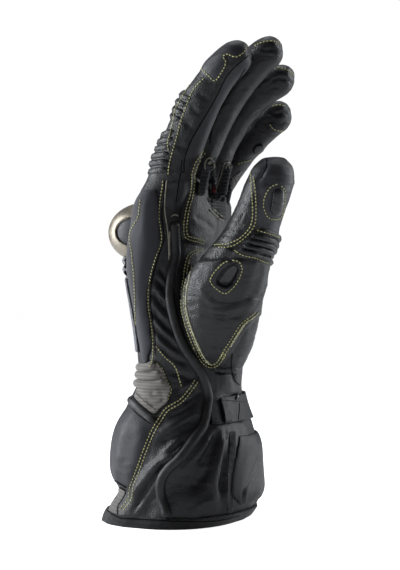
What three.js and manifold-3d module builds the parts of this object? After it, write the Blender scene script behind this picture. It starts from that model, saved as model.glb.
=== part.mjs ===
// A left-hand motorcycle gauntlet of black leather, standing on the hem of its cuff with the fingers curled.
// Millimetres, +Z up. The palm faces +X, the back of the hand -X, the thumb side -Y and the little finger +Y.
// Every panel follows one of three surfaces, the body, a finger or the thumb, at a stated distance from it.
import * as THREE from "three";
import { mergeVertices } from "three/addons/utils/BufferGeometryUtils.js";
import Module from "manifold-3d";

const wasm = await Module();
wasm.setup();

// Driving sizes of the hand and the cuff
const CUFF_LENGTH = 86; // hem to the narrowest line of the wrist
const PALM_LENGTH = 111; // wrist to the knuckle row
const CROWN_LENGTH = 30; // knuckle row to the finger forks
const HEM_WIDTH = 106;
const HEM_DEPTH = 91;
const WRIST_WIDTH = 82;
const WRIST_DEPTH = 57;
const KNUCKLE_WIDTH = 92;
const KNUCKLE_DEPTH = 46;
const KNUCKLE_DROP = 13; // the little finger's knuckle is this much lower than the index finger's
const FINGER_LENGTH = 131.5; // the middle finger's, from its root inside the hand to its tip
const FINGER_PITCH = 22.6;
const FINGER_WIDTH = 21.8;
const FINGER_DEPTH = 28;
const FINGER_TIP_DEPTH = 19;
const THUMB_LENGTH = 135; // root of the thumb's ball to its tip, along the height
const THUMB_WIDTH = 34;
const THUMB_DEPTH = 30;

// Leather, trim and clearances
const WALL = 2.4; // leather with its lining
const GAP = 0.35; // between neighbouring pieces
const PANEL = 1.5; // one more layer of leather
const THIN = 0.6; // stretch cloth and skived leather
const FACET_SLACK = 0.2; // a facet may lie this far from the true surface
const FACET_ROOM = 0.25; // room for a facet's sag under a panel that isn't cut to its seat
const PAD = 5; // foam under leather
const BINDING_WIDTH = 6.4;
const BINDING_RISE = 3;
const RIM_WIDTH = 5;
const RIM_RISE = 1.6;
const MESH_WIDTH = 6;
const HEM_BAND = 7.5;
const RIB_RISE = 1.7;

const ROUND = 2.35; // exponent of the body's rounded sections
const FINGER_ROUND = 2.2; // the same for the fingers and the thumb
const PLAIN_SIDES = 14; // round the back and the palm
const FOLDED_SIDES = 14; // round the thumb side, where most folds are
const FOLDED_FROM = -122;
const FOLDED_TO = -12;
const FINGER_SIDES = 12;
const THUMB_SIDES = 16;
const CUFF_ROWS = 10;
const HAND_ROWS = 11;
const LINING_SIDES = 14; // the hollows are coarser than the outside
const LINING_ROWS = 7;
const FINGER_LINING_SIDES = 8;
const THUMB_LINING_SIDES = 10;
const KNUCKLE_Z = CUFF_LENGTH + PALM_LENGTH;
const TOP_Z = KNUCKLE_Z + CROWN_LENGTH;

const radians = THREE.MathUtils.degToRad;
const lerp = THREE.MathUtils.lerp;

// A smooth value between the rows of a table, read by its first column.
function along(table, key, at, column) {
  const last = table.length - 1;
  let i = 0;
  while (i < last - 1 && at > table[i + 1][key]) i += 1;
  const [before, a, b, after] = [i - 1, i, i + 1, i + 2].map(
    (k) => table[THREE.MathUtils.clamp(k, 0, last)],
  );
  const t = THREE.MathUtils.clamp((at - a[key]) / (b[key] - a[key]), 0, 1);
  const slope = (p, q) => (q[key] === p[key] ? 0 : (q[column] - p[column]) / (q[key] - p[key]));
  const span = b[key] - a[key];
  const [m0, m1] = [slope(before, b) * span, slope(a, after) * span];
  const [t2, t3] = [t * t, t * t * t];
  return (
    (2 * t3 - 3 * t2 + 1) * a[column] +
    (t3 - 2 * t2 + t) * m0 +
    (-2 * t3 + 3 * t2) * b[column] +
    (t3 - t2) * m1
  );
}

// Builds one closed geometry from points and triangles, with its faces turned outwards.
function closedGeometry(points, triangles) {
  let volume = 0;
  const [a, b, c] = [new THREE.Vector3(), new THREE.Vector3(), new THREE.Vector3()];
  for (const [i, j, k] of triangles) {
    volume += a.copy(points[i]).dot(b.copy(points[j]).cross(c.copy(points[k])));
  }
  const index = triangles.flatMap(([i, j, k]) => (volume > 0 ? [i, j, k] : [i, k, j]));
  const geometry = new THREE.BufferGeometry().setFromPoints(points);
  geometry.setIndex(index);
  return geometry;
}

// Joins rings of points into a closed solid with a fan at each end.
function loft(rings) {
  const sides = rings[0].length;
  const points = rings.flat();
  const triangles = [];
  for (let r = 0; r < rings.length - 1; r += 1) {
    for (let i = 0; i < sides; i += 1) {
      const next = (i + 1) % sides;
      const [p, q] = [r * sides + i, r * sides + next];
      triangles.push([p, q, q + sides], [p, q + sides, p + sides]);
    }
  }
  for (const [r, turned] of [
    [0, true],
    [rings.length - 1, false],
  ]) {
    const centre = rings[r].reduce((sum, p) => sum.add(p), new THREE.Vector3());
    points.push(centre.divideScalar(sides));
    for (let i = 0; i < sides; i += 1) {
      const [p, q] = [r * sides + i, r * sides + ((i + 1) % sides)];
      triangles.push(turned ? [q, p, points.length - 1] : [p, q, points.length - 1]);
    }
  }
  return closedGeometry(points, triangles);
}

// A closed slab between an inner and an outer sheet. pointAt(row, column, outer) gives its points.
function slab(rows, columns, pointAt) {
  const points = [];
  const triangles = [];
  const at = (r, c, outer) => (r * (columns + 1) + c) * 2 + outer;
  for (let r = 0; r <= rows; r += 1) {
    for (let c = 0; c <= columns; c += 1) {
      points.push(pointAt(r / rows, c / columns, 0), pointAt(r / rows, c / columns, 1));
    }
  }
  const quad = (i, j, k, l) => triangles.push([i, j, k], [i, k, l]);
  for (let r = 0; r < rows; r += 1) {
    for (let c = 0; c < columns; c += 1) {
      quad(at(r, c, 1), at(r, c + 1, 1), at(r + 1, c + 1, 1), at(r + 1, c, 1));
      quad(at(r, c, 0), at(r + 1, c, 0), at(r + 1, c + 1, 0), at(r, c + 1, 0));
    }
    quad(at(r, 0, 0), at(r, 0, 1), at(r + 1, 0, 1), at(r + 1, 0, 0));
    quad(at(r, columns, 1), at(r, columns, 0), at(r + 1, columns, 0), at(r + 1, columns, 1));
  }
  for (let c = 0; c < columns; c += 1) {
    quad(at(0, c, 1), at(0, c, 0), at(0, c + 1, 0), at(0, c + 1, 1));
    quad(at(rows, c, 0), at(rows, c, 1), at(rows, c + 1, 1), at(rows, c + 1, 0));
  }
  return closedGeometry(points, triangles);
}

// Solids go to the boolean library and come back as geometry.
function toSolid(geometry) {
  const bare = geometry.clone();
  bare.deleteAttribute("normal");
  bare.deleteAttribute("uv");
  const merged = mergeVertices(bare, 1e-4);
  return new wasm.Manifold(
    new wasm.Mesh({
      numProp: 3,
      vertProperties: merged.attributes.position.array,
      triVerts: new Uint32Array(merged.index.array),
    }),
  );
}

// Keeps a cut's largest body, without the slivers that a cut can leave.
function toGeometry(solid) {
  const main = solid.decompose().sort((a, b) => b.volume() - a.volume())[0];
  const mesh = main.simplify(FACET_SLACK).getMesh();
  const geometry = new THREE.BufferGeometry();
  geometry.setAttribute("position", new THREE.BufferAttribute(mesh.vertProperties, 3));
  geometry.setIndex(new THREE.BufferAttribute(mesh.triVerts, 1));
  return geometry;
}

// The body's sections. height: share of the cuff (below 1), of the palm (1 to 2) and of the crown (2 to 3).
// wide and deep: 0 at the wrist's size, 1 at the hem's below the wrist and at the knuckles' above it.
// shift is a share of the wrist's depth and drop a share of the knuckles' drop.
const BODY = [
  { height: 0.0, wide: 0.88, deep: 0.83, shift: -0.105, drop: 0 },
  { height: 0.085, wide: 0.86, deep: 0.94, shift: -0.035, drop: 0 },
  { height: 0.21, wide: 0.74, deep: 0.86, shift: 0.05, drop: 0 },
  { height: 0.34, wide: 0.66, deep: 0.82, shift: 0.035, drop: 0 },
  { height: 0.51, wide: 0.66, deep: 0.77, shift: 0.037, drop: 0 },
  { height: 0.63, wide: 0.6, deep: 0.7, shift: 0.038, drop: 0 },
  { height: 0.81, wide: 0.38, deep: 0.38, shift: 0.02, drop: 0 },
  { height: 0.89, wide: 0.22, deep: 0.24, shift: 0.024, drop: 0 },
  { height: 1.0, wide: 0.0, deep: 0.0, shift: 0.06, drop: 0 },
  { height: 1.1, wide: -0.1, deep: -0.04, shift: 0.08, drop: 0 },
  { height: 1.26, wide: 0.2, deep: -0.1, shift: 0.07, drop: 0.1 },
  { height: 1.45, wide: 0.5, deep: 0.3, shift: -0.01, drop: 0.25 },
  { height: 1.7, wide: 0.85, deep: 0.55, shift: -0.09, drop: 0.5 },
  { height: 1.94, wide: 1.0, deep: 1.0, shift: -0.03, drop: 0.9 },
  { height: 2.3, wide: 0.98, deep: 1.3, shift: -0.01, drop: 1.0 },
  { height: 2.65, wide: 0.7, deep: 1.9, shift: 0.06, drop: 1.0 },
  { height: 2.87, wide: 0.1, deep: 2.9, shift: 0.11, drop: 1.0 },
  { height: 3.0, wide: -0.8, deep: 3.7, shift: 0.13, drop: 1.0 },
];

// Turns a height in millimetres into the share that the body's table reads.
function bodyShare(z) {
  if (z < CUFF_LENGTH) return z / CUFF_LENGTH;
  if (z < KNUCKLE_Z) return 1 + (z - CUFF_LENGTH) / PALM_LENGTH;
  return 2 + (z - KNUCKLE_Z) / CROWN_LENGTH;
}

function bodySection(z) {
  const share = THREE.MathUtils.clamp(bodyShare(z), 0, 3);
  const [wide, deep, shift, drop] = ["wide", "deep", "shift", "drop"].map((column) =>
    along(BODY, "height", share, column),
  );
  const [width, depth] = share < 1 ? [HEM_WIDTH, HEM_DEPTH] : [KNUCKLE_WIDTH, KNUCKLE_DEPTH];
  return {
    across: lerp(WRIST_WIDTH, width, wide) / 2,
    out: lerp(WRIST_DEPTH, depth, deep) / 2,
    x: shift * WRIST_DEPTH,
    drop: drop * KNUCKLE_DROP,
  };
}

// A point on a rounded section: 0 degrees faces the palm, -90 the thumb side and 180 the back.
function onSection(degrees, across, out, power) {
  const [c, s] = [Math.cos(radians(degrees)), Math.sin(radians(degrees))];
  const bend = (v) => Math.sign(v) * Math.abs(v) ** (2 / power);
  return [out * bend(c), across * bend(s)];
}

// Folds of the leather, each a line on the body. height is a share as above, and at is in degrees round it.
// reach is the fold's half width and rise its height, as shares of the wrist's depth, with a valley below 0.
const FOLDS = [
  { height: 0.56, at: -66, toHeight: 0.2, toAt: -103, reach: 0.09, rise: 0.04 },
  { height: 0.5, at: -57, toHeight: 0.1, toAt: -90, reach: 0.07, rise: -0.03 },
  { height: 0.68, at: -38, toHeight: 0.16, toAt: -60, reach: 0.08, rise: -0.034 },
  { height: 0.7, at: -30, toHeight: 0.14, toAt: -42, reach: 0.07, rise: 0.03 },
  { height: 0.8, at: -150, toHeight: 0.84, toAt: -60, reach: 0.07, rise: -0.03 },
  { height: 0.22, at: -200, toHeight: 0.2, toAt: -95, reach: 0.09, rise: -0.035 },
  { height: 1.7, at: -66, toHeight: 1.42, toAt: -52, reach: 0.08, rise: -0.03 },
  { height: 1.5, at: -78, toHeight: 1.25, toAt: -60, reach: 0.08, rise: -0.03 },
];

function foldRise(share, degrees) {
  const perDegree = 1 / 90; // one share of height is about as long as 90 degrees of the body's girth
  let rise = 0;
  for (const fold of FOLDS) {
    const [run, turn] = [fold.toHeight - fold.height, (fold.toAt - fold.at) * perDegree];
    const [dh, da] = [share - fold.height, (degrees - fold.at) * perDegree];
    const t = THREE.MathUtils.clamp((dh * run + da * turn) / (run * run + turn * turn), 0, 1);
    const away = Math.hypot(dh - run * t, da - turn * t) / fold.reach;
    rise += fold.rise * WRIST_DEPTH * Math.exp(-away * away);
  }
  return rise;
}

function bodyPoint(z, degrees, offset) {
  const section = bodySection(z);
  const grown = offset + foldRise(bodyShare(z), degrees) + foldRise(bodyShare(z), degrees - 360);
  const [x, y] = onSection(degrees, section.across + grown, section.out + grown, ROUND);
  const slant = (y / section.across + 1) / 2;
  return new THREE.Vector3(section.x + x, y, z - slant * section.drop);
}

// Four fingers. root and sink place the root, as shares of the knuckles' depth and drop. lean and curl are
// the tilt towards the palm at root and tip in degrees, and bend is how late the tilt grows. long is a share
// of the middle finger's length.
const FINGERS = [
  { name: "index", place: -1.5, root: 0.06, sink: -0.62, long: 0.84, lean: 22.5, curl: 75, bend: 3.2 },
  { name: "middle", place: -0.5, root: 0.01, sink: 0.12, long: 1.0, lean: 17, curl: 63, bend: 1.5 },
  { name: "ring", place: 0.5, root: 0.02, sink: 0.38, long: 0.94, lean: 11, curl: 80, bend: 1.5 },
  { name: "little", place: 1.5, root: -0.18, sink: 0.64, long: 0.806, lean: 5, curl: 65, bend: 0.63 },
].map((finger) => ({ ...finger, length: finger.long * FINGER_LENGTH }));
const FINGER_SECTIONS = [
  { at: 0.0, wide: 1.0, deep: 1.02 },
  { at: 0.45, wide: 0.97, deep: 0.95 },
  { at: 0.75, wide: 0.87, deep: 0.8 },
  { at: 1.0, wide: 0.84, deep: 0.7 },
];
const FINGER_ROWS = [0, 0.16, 0.31, 0.46, 0.62, 0.76, 0.87];
const TIP_ANGLES = [0, 34, 64];

function fingerLean(finger, share) {
  return radians(finger.lean + (finger.curl - finger.lean) * share ** finger.bend);
}

// The finger's centre line, walked in short steps from the root, with the way it points.
function fingerLine(finger) {
  const steps = 60;
  const line = [];
  let x = finger.root * KNUCKLE_DEPTH;
  let z = KNUCKLE_Z - finger.sink * KNUCKLE_DROP;
  for (let i = 0; i <= steps; i += 1) {
    const lean = fingerLean(finger, i / steps);
    line.push({ x, z, lean });
    x += (Math.sin(lean) * finger.length) / steps;
    z += (Math.cos(lean) * finger.length) / steps;
  }
  return line;
}

function fingerPoint(finger, share, degrees, offset) {
  finger.line ??= fingerLine(finger);
  const place = share * (finger.line.length - 1);
  const low = Math.min(Math.floor(place), finger.line.length - 2);
  const [a, b] = [finger.line[low], finger.line[low + 1]];
  const t = place - low;
  const [x, z, lean] = [lerp(a.x, b.x, t), lerp(a.z, b.z, t), lerp(a.lean, b.lean, t)];
  const dome = FINGER_TIP_DEPTH / 2 / finger.length;
  const past = Math.max(0, share - (1 - dome)) / dome;
  const round = Math.sqrt(Math.max(0, 1 - past * past));
  const wide = along(FINGER_SECTIONS, "at", share, "wide") * FINGER_WIDTH;
  const deep = along(FINGER_SECTIONS, "at", share, "deep") * FINGER_DEPTH;
  const [u, y] = onSection(degrees, (wide / 2) * round + offset, (deep / 2) * round + offset, FINGER_ROUND);
  const tip = offset * past; // the offset also lengthens the rounded tip
  return new THREE.Vector3(
    x + u * Math.cos(lean) + tip * Math.sin(lean),
    finger.place * FINGER_PITCH + y,
    z - u * Math.sin(lean) + tip * Math.cos(lean),
  );
}

// The thumb and its ball. reach and side are shares of the thumb's length, towards the palm and sideways.
const THUMB = [
  { at: 0.0, reach: 0.175, side: -0.03, wide: 1.0, deep: 1.15 },
  { at: 0.1, reach: 0.208, side: -0.07, wide: 1.29, deep: 1.48 },
  { at: 0.2, reach: 0.241, side: -0.108, wide: 1.36, deep: 1.62 },
  { at: 0.34, reach: 0.274, side: -0.142, wide: 1.45, deep: 1.68 },
  { at: 0.48, reach: 0.323, side: -0.166, wide: 1.52, deep: 1.55 },
  { at: 0.57, reach: 0.385, side: -0.176, wide: 1.34, deep: 1.32 },
  { at: 0.66, reach: 0.446, side: -0.185, wide: 1.16, deep: 1.14 },
  { at: 0.74, reach: 0.49, side: -0.195, wide: 1.09, deep: 1.07 },
  { at: 0.84, reach: 0.536, side: -0.197, wide: 1.05, deep: 1.04 },
  { at: 0.93, reach: 0.557, side: -0.194, wide: 1.05, deep: 1.02 },
  { at: 1.0, reach: 0.562, side: -0.194, wide: 1.03, deep: 0.98 },
];
const THUMB_ROOT_Z = CUFF_LENGTH + 0.09 * PALM_LENGTH;
const THUMB_TURN = 28; // the thumb's broad face is turned this far from the hand's side
const THUMB_ROWS = [0, 0.11, 0.22, 0.34, 0.46, 0.56, 0.66, 0.77];
const THUMB_DOME = 0.13; // share of the thumb's length that its round tip takes
const THUMB_SEAM = 0.56; // the ball ends and the thumb starts here, under the thumb's ribs

function thumbPoint(share, degrees, offset) {
  const [reach, side, wide, deep] = ["reach", "side", "wide", "deep"].map((column) =>
    along(THUMB, "at", share, column),
  );
  const past = Math.max(0, share - (1 - THUMB_DOME)) / THUMB_DOME;
  const round = Math.sqrt(Math.max(0, 1 - past * past));
  const [u, v] = onSection(
    degrees,
    (wide * THUMB_WIDTH * round) / 2 + offset,
    (deep * THUMB_DEPTH * round) / 2 + offset,
    FINGER_ROUND,
  );
  const turn = radians(THUMB_TURN);
  return new THREE.Vector3(
    reach * THUMB_LENGTH + u * Math.cos(turn) - v * Math.sin(turn),
    side * THUMB_LENGTH + u * Math.sin(turn) + v * Math.cos(turn),
    THUMB_ROOT_Z + share * THUMB_LENGTH + offset * past,
  );
}

function ring(sides, pointAt) {
  return Array.from({ length: sides }, (_, i) => pointAt(-180 + (360 * i) / sides));
}

// Angles round the body, closer together where the leather folds.
const BODY_ANGLES = [
  ...Array.from({ length: FOLDED_SIDES }, (_, i) => lerp(FOLDED_FROM, FOLDED_TO, i / FOLDED_SIDES)),
  ...Array.from({ length: PLAIN_SIDES }, (_, i) => lerp(FOLDED_TO, FOLDED_FROM + 360, i / PLAIN_SIDES)),
];

// Solids of the three surfaces, grown or shrunk by an offset.
function bodySolid(levels, offset, sides) {
  const rings = levels.map((z) => {
    const pointAt = (degrees) => bodyPoint(z, degrees, offset);
    return sides ? ring(sides, pointAt) : BODY_ANGLES.map(pointAt);
  });
  return toSolid(loft(rings));
}

function domeShares(start, angles) {
  return angles.map((angle) => start + (1 - start) * Math.sin(radians(angle)));
}

function fingerSolid(finger, offset) {
  const start = 1 - FINGER_TIP_DEPTH / 2 / finger.length;
  const lining = offset < 0;
  const rows = FINGER_ROWS.filter((share, i) => share < start - 0.02 && !(lining && i % 2));
  const tips = TIP_ANGLES.filter((_, i) => !(lining && i % 2));
  const rings = [...rows, ...domeShares(start, tips)].map((share) =>
    ring(lining ? FINGER_LINING_SIDES : FINGER_SIDES, (degrees) =>
      fingerPoint(finger, share, degrees, offset),
    ),
  );
  return toSolid(loft(rings));
}

function thumbSolid(offset) {
  const lining = offset < 0;
  const rows = THUMB_ROWS.filter((_, i) => !(lining && i % 2));
  const tips = TIP_ANGLES.filter((_, i) => !(lining && i % 2));
  const rings = [...rows, ...domeShares(1 - THUMB_DOME, tips)].map((share) =>
    ring(lining ? THUMB_LINING_SIDES : THUMB_SIDES, (degrees) => thumbPoint(share, degrees, offset)),
  );
  return toSolid(loft(rings));
}

// Surfaces that panels lie on. Each gives a point at a share of its height, an angle and a distance.
const onBody = (share, degrees, offset) => bodyPoint(bodyHeight(share), degrees, offset);
const onFinger = (finger) => (share, degrees, offset) => fingerPoint(finger, share, degrees, offset);

// The body's height in millimetres at a share, the reverse of bodyShare.
function bodyHeight(share) {
  if (share < 1) return share * CUFF_LENGTH;
  if (share < 2) return CUFF_LENGTH + (share - 1) * PALM_LENGTH;
  return KNUCKLE_Z + (share - 2) * CROWN_LENGTH;
}

// A panel between two edges. Its table has a row for each height, with the angles of both edges.
// It starts below the surface, and the cut by the grown surface later gives it its seat.
function panel(surface, table, { thick, rows = 6, columns = 5, crown = 0, ribs = 0, stand, seated }) {
  const last = table[table.length - 1];
  return toSolid(
    slab(rows, columns, (r, c, outer) => {
      const share = lerp(table[0].at, last.at, r);
      const [from, to] = [along(table, "at", share, "from"), along(table, "at", share, "to")];
      const pad = crown * (1 - Math.abs(2 * c - 1) ** 4) * (1 - Math.abs(2 * r - 1) ** 4);
      const rib = ribs ? RIB_RISE * Math.abs(Math.sin(Math.PI * ribs * r)) : 0;
      const top = GAP + thick + pad + rib + (stand ? stand(r, c) : 0);
      const bottom = stand ? top - thick : seated ? GAP + FACET_ROOM : -PANEL;
      return surface(share, lerp(from, to, c), outer ? top : bottom);
    }),
  );
}

// The table of an oval panel round a centre.
function oval(at, degrees, high, wide) {
  return [-0.96, -0.7, -0.35, 0, 0.35, 0.7, 0.96].map((t) => {
    const half = wide * Math.sqrt(1 - t * t);
    return { at: at + t * high, from: degrees - half, to: degrees + half };
  });
}

// A band along a line on a surface. Its section is arched by rise over the width.
function band(surface, table, { width, rise, thick, rows, columns = 2 }) {
  const step = 0.002;
  const last = table.length - 1;
  const place = (t) => {
    const rowed = table.map((row, i) => ({ ...row, i }));
    return [along(rowed, "i", t * last, "at"), along(rowed, "i", t * last, "degrees")];
  };
  return toSolid(
    slab(rows, columns, (r, c, outer) => {
      const [share, degrees] = place(r);
      const here = surface(share, degrees, 0);
      const up = surface(share, degrees, 1).sub(here);
      const [s0, d0] = place(Math.max(0, r - step));
      const [s1, d1] = place(Math.min(1, r + step));
      const run = surface(s1, d1, 0).sub(surface(s0, d0, 0)).normalize();
      const side = run.cross(up).normalize();
      const alongShare = surface(share + step, degrees, 0).sub(here).divideScalar(step);
      const alongTurn = surface(share, degrees + 1, 0).sub(here);
      const w = (2 * c - 1) * (width / 2);
      const place2 = [
        share + (w * side.dot(alongShare)) / alongShare.lengthSq(),
        degrees + (w * side.dot(alongTurn)) / alongTurn.lengthSq(),
      ];
      const top = GAP + thick + rise * (1 - (2 * c - 1) ** 2);
      return surface(place2[0], place2[1], outer ? top : -PANEL);
    }),
  );
}

const glove = new THREE.Group();

const plain = (color, roughness, metalness = 0) =>
  new THREE.MeshStandardMaterial({ color, roughness, metalness });
const leather = plain(0x242426, 0.55);
const smoothLeather = plain(0x303034, 0.45);
const rubber = plain(0x1d1d1f, 0.7);
const stretch = plain(0x6a6765, 0.8);
const satin = plain(0x8f8f94, 0.5);
const metal = plain(0xb5ad9f, 0.35, 0.9);
const mesh = plain(0x151516, 0.9);

function piece(name, solid, material) {
  const part = new THREE.Mesh(toGeometry(solid), material);
  part.name = name;
  glove.add(part);
}

// The leather shells: cuff, hand, four fingers and thumb, hollow all the way from the hem to the tips.
const HEM_FLOOR = 1.6; // the shell starts above the hem's binding, which wraps its edge
const BELOW = 5; // a cutting solid runs this far past what it cuts
const levels = (low, high, rows) => Array.from({ length: rows + 1 }, (_, i) => lerp(low, high, i / rows));
const cuffLevels = levels(HEM_FLOOR, CUFF_LENGTH - GAP / 2, CUFF_ROWS);
const handLevels = levels(CUFF_LENGTH + GAP / 2, TOP_Z, HAND_ROWS);
const fingerHollows = FINGERS.map((finger) => fingerSolid(finger, -WALL));
const thumbHollow = thumbSolid(-WALL);
const handLining = levels(CUFF_LENGTH - BELOW, TOP_Z - 2 * WALL, LINING_ROWS);
const handHollow = bodySolid(handLining, -WALL, LINING_SIDES);
const cuffLining = [-BELOW, ...cuffLevels.filter((_, i) => i % 2 === 0), CUFF_LENGTH + BELOW];
const cuffHollow = bodySolid(cuffLining, -WALL, LINING_SIDES);
const grownBody = bodySolid([-BELOW, ...cuffLevels, ...handLevels, TOP_Z + GAP], GAP);
const grownFingers = FINGERS.map((finger) => fingerSolid(finger, GAP));
const grownThumb = thumbSolid(GAP);
const grownHand = [grownBody, grownThumb, ...grownFingers];

const without = (solid, others) => others.reduce((rest, other) => rest.subtract(other), solid);

piece("cuff_shell", bodySolid(cuffLevels, 0).subtract(cuffHollow), leather);
const handSolid = bodySolid(handLevels, 0);
piece("hand_shell", without(handSolid, [handHollow, thumbHollow, ...fingerHollows]), leather);
FINGERS.forEach((finger, i) => {
  const shell = fingerSolid(finger, 0);
  piece(finger.name + "_finger", without(shell, [fingerHollows[i], grownBody]), leather);
});
const thumbShell = without(thumbSolid(0), [thumbHollow, grownBody]);
const thumbSeamZ = THUMB_ROOT_Z + THUMB_SEAM * THUMB_LENGTH;
piece("thumb_ball", thumbShell.trimByPlane([0, 0, -1], GAP / 2 - thumbSeamZ), leather);
piece("thumb", thumbShell.trimByPlane([0, 0, 1], thumbSeamZ + GAP / 2), leather);

// The band round the hem, flat underneath: the glove stands on it.
const hemOutside = bodySolid(levels(0, HEM_BAND, 2), PANEL + GAP);
const hemInside = bodySolid([HEM_FLOOR - GAP, ...cuffLevels.slice(1, 3)], GAP);
piece("hem_binding", without(hemOutside, [cuffHollow, hemInside]), mesh);

// The rolled edge of the closure flap, from the hem up to the side of the palm.
const FLAP_EDGE = [
  { at: 0.11, degrees: -74 },
  { at: 0.22, degrees: -82 },
  { at: 0.38, degrees: -80 },
  { at: 0.58, degrees: -62 },
  { at: 0.72, degrees: -47 },
  { at: 0.82, degrees: -37 },
  { at: 0.93, degrees: -33 },
  { at: 1.06, degrees: -42 },
  { at: 1.22, degrees: -62 },
  { at: 1.43, degrees: -64 },
  { at: 1.66, degrees: -54 },
  { at: 1.82, degrees: -49 },
  { at: 1.94, degrees: -52 },
];
const flapShape = { width: BINDING_WIDTH, rise: BINDING_RISE, thick: THIN, rows: 18, columns: 2 };
const flapBand = band(onBody, FLAP_EDGE, flapShape);
piece("flap_binding", without(flapBand, [grownBody, grownThumb]), smoothLeather);

// The guard over the knuckles, a thin metal shell on a rubber bed.
const GUARD_EDGES = [
  { at: 1.775, from: -226, to: -134 },
  { at: 2.3, from: -226, to: -134 },
];
const GUARD_RISE = 16.5;
const GUARD_WALL = 1.4;
const BED_SINK = 0.9; // the bed's top lies this far below the guard's underside
const guardStand = (r, c) => {
  const arch = Math.sin(Math.PI * (0.14 + 0.84 * r)) ** 0.75;
  return PANEL + GUARD_RISE * arch * (1 - 0.75 * Math.abs(2 * c - 1) ** 3);
};
const guardShape = { rows: 6, columns: 7, thick: GUARD_WALL, stand: guardStand };
piece("knuckle_guard", without(panel(onBody, GUARD_EDGES, guardShape), grownFingers), metal);
const bedStand = (r, c) => guardStand(r, c) - GUARD_WALL - GAP;
const bed = toSolid(
  slab(4, 7, (r, c, outer) => {
    const share = lerp(GUARD_EDGES[0].at + 0.015, GUARD_EDGES[1].at - 0.03, r);
    const degrees = lerp(GUARD_EDGES[0].from + 1, GUARD_EDGES[0].to - 1, c);
    return onBody(share, degrees, outer ? GAP + bedStand(r, c) - BED_SINK : -PANEL);
  }),
);
piece("knuckle_base", without(bed, [grownBody, ...grownFingers]), rubber);

// The back of the hand: stretch ribs below the guard, and a satin strip down to the wrist.
const BACK_RIBS = [
  { at: 1.645, from: -226, to: -138 },
  { at: 1.755, from: -226, to: -138 },
];
const backRibs = panel(onBody, BACK_RIBS, { thick: THIN, rows: 6, columns: 6, ribs: 3 });
piece("back_ribs", backRibs.subtract(grownBody), rubber);
const BACK_STRIP = [
  { at: 1.2, from: -154, to: -124 },
  { at: 1.4, from: -154, to: -122 },
  { at: 1.63, from: -156, to: -126 },
];
const backStrip = panel(onBody, BACK_STRIP, { thick: PANEL, rows: 6, columns: 3 });
piece("back_strip", backStrip.subtract(grownBody), satin);

// The padded side of the hand.
const BOLSTER = [
  { at: 1.12, from: -113, to: -104 },
  { at: 1.19, from: -119, to: -96 },
  { at: 1.35, from: -118, to: -92 },
  { at: 1.53, from: -118, to: -89 },
  { at: 1.66, from: -121, to: -76 },
  { at: 1.75, from: -128, to: -70 },
  { at: 1.87, from: -130, to: -68 },
  { at: 2.0, from: -128, to: -73 },
  { at: 2.25, from: -118, to: -74 },
  { at: 2.5, from: -108, to: -80 },
];
const bolsterShape = { thick: PANEL, crown: PAD - 2 * PANEL, rows: 10, columns: 3 };
const bolster = panel(onBody, BOLSTER, bolsterShape);
piece("side_bolster", without(bolster, [...grownFingers, grownBody]), leather);

// Ribbed stretch panels and tip patches on the fingers.
const LOW_RIBS = [
  { at: 0.15, from: 135, to: 225 },
  { at: 0.34, from: 135, to: 225 },
];
const HIGH_RIBS = [
  { at: 0.45, from: 142, to: 218 },
  { at: 0.6, from: 142, to: 218 },
];
const TIP_FROM = 0.76; // the tip patch starts at one of the finger's rows and follows its rings
FINGERS.forEach((finger, i) => {
  const surface = onFinger(finger);
  const clear = [grownFingers[i], grownBody];
  const low = panel(surface, LOW_RIBS, { thick: THIN, rows: 10, columns: 3, ribs: 5, seated: true });
  piece(finger.name + "_low_ribs", low.subtract(grownBody), smoothLeather);
  const high = panel(surface, HIGH_RIBS, { thick: THIN, rows: 6, columns: 2, ribs: 3 });
  piece(finger.name + "_high_ribs", without(high, clear), smoothLeather);
  const dome = 1 - FINGER_TIP_DEPTH / 2 / finger.length;
  const shares = [...FINGER_ROWS.filter((share) => share >= TIP_FROM), ...domeShares(dome, TIP_ANGLES)];
  const tip = slab(shares.length - 1, 6, (r, c, outer) =>
    surface(shares[Math.round(r * (shares.length - 1))], lerp(90, 270, c), GAP + (outer ? THIN : 0)),
  );
  piece(finger.name + "_tip_patch", toSolid(tip), smoothLeather);
});
const little = FINGERS[FINGERS.length - 1];
const littleOval = oval(0.7, -22, 0.045, 20);
const littleSlider = panel(onFinger(little), littleOval, { thick: PANEL, rows: 5, columns: 3 });
piece("little_slider", without(littleSlider, grownFingers.slice(2)), rubber);

// Palm side: the patch under the index finger, the patch on the thumb's ball with its window, and sliders.
const INDEX_PATCH = [
  { at: 1.87, from: -36, to: -4 },
  { at: 1.92, from: -40, to: 2 },
  { at: 2.1, from: -38, to: 0 },
  { at: 2.4, from: -34, to: -8 },
  { at: 2.8, from: -32, to: -12 },
];
const indexPatch = panel(onBody, INDEX_PATCH, { thick: PANEL, rows: 8, columns: 4 });
piece("index_patch", without(indexPatch, grownHand), leather);
const PALM_PATCH = [
  { at: 0.04, from: -112, to: -92 },
  { at: 0.1, from: -122, to: -76 },
  { at: 0.16, from: -133, to: -69 },
  { at: 0.22, from: -144, to: -60 },
  { at: 0.3, from: -158, to: -34 },
  { at: 0.38, from: -168, to: -12 },
  { at: 0.46, from: -168, to: -8 },
  { at: 0.515, from: -158, to: -8 },
];
const palmPatch = panel(thumbPoint, PALM_PATCH, { thick: PANEL, rows: 8, columns: 6 });
const windowCut = panel(thumbPoint, oval(0.45, -90, 0.048, 13), { thick: PAD, rows: 6, columns: 4 });
piece("palm_patch", without(palmPatch, [windowCut, grownBody, grownThumb]), leather);
const palmSlider = panel(thumbPoint, oval(0.45, -90, 0.04, 9.5), { thick: PANEL, rows: 6, columns: 3 });
piece("palm_slider", palmSlider.subtract(grownThumb), rubber);
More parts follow.
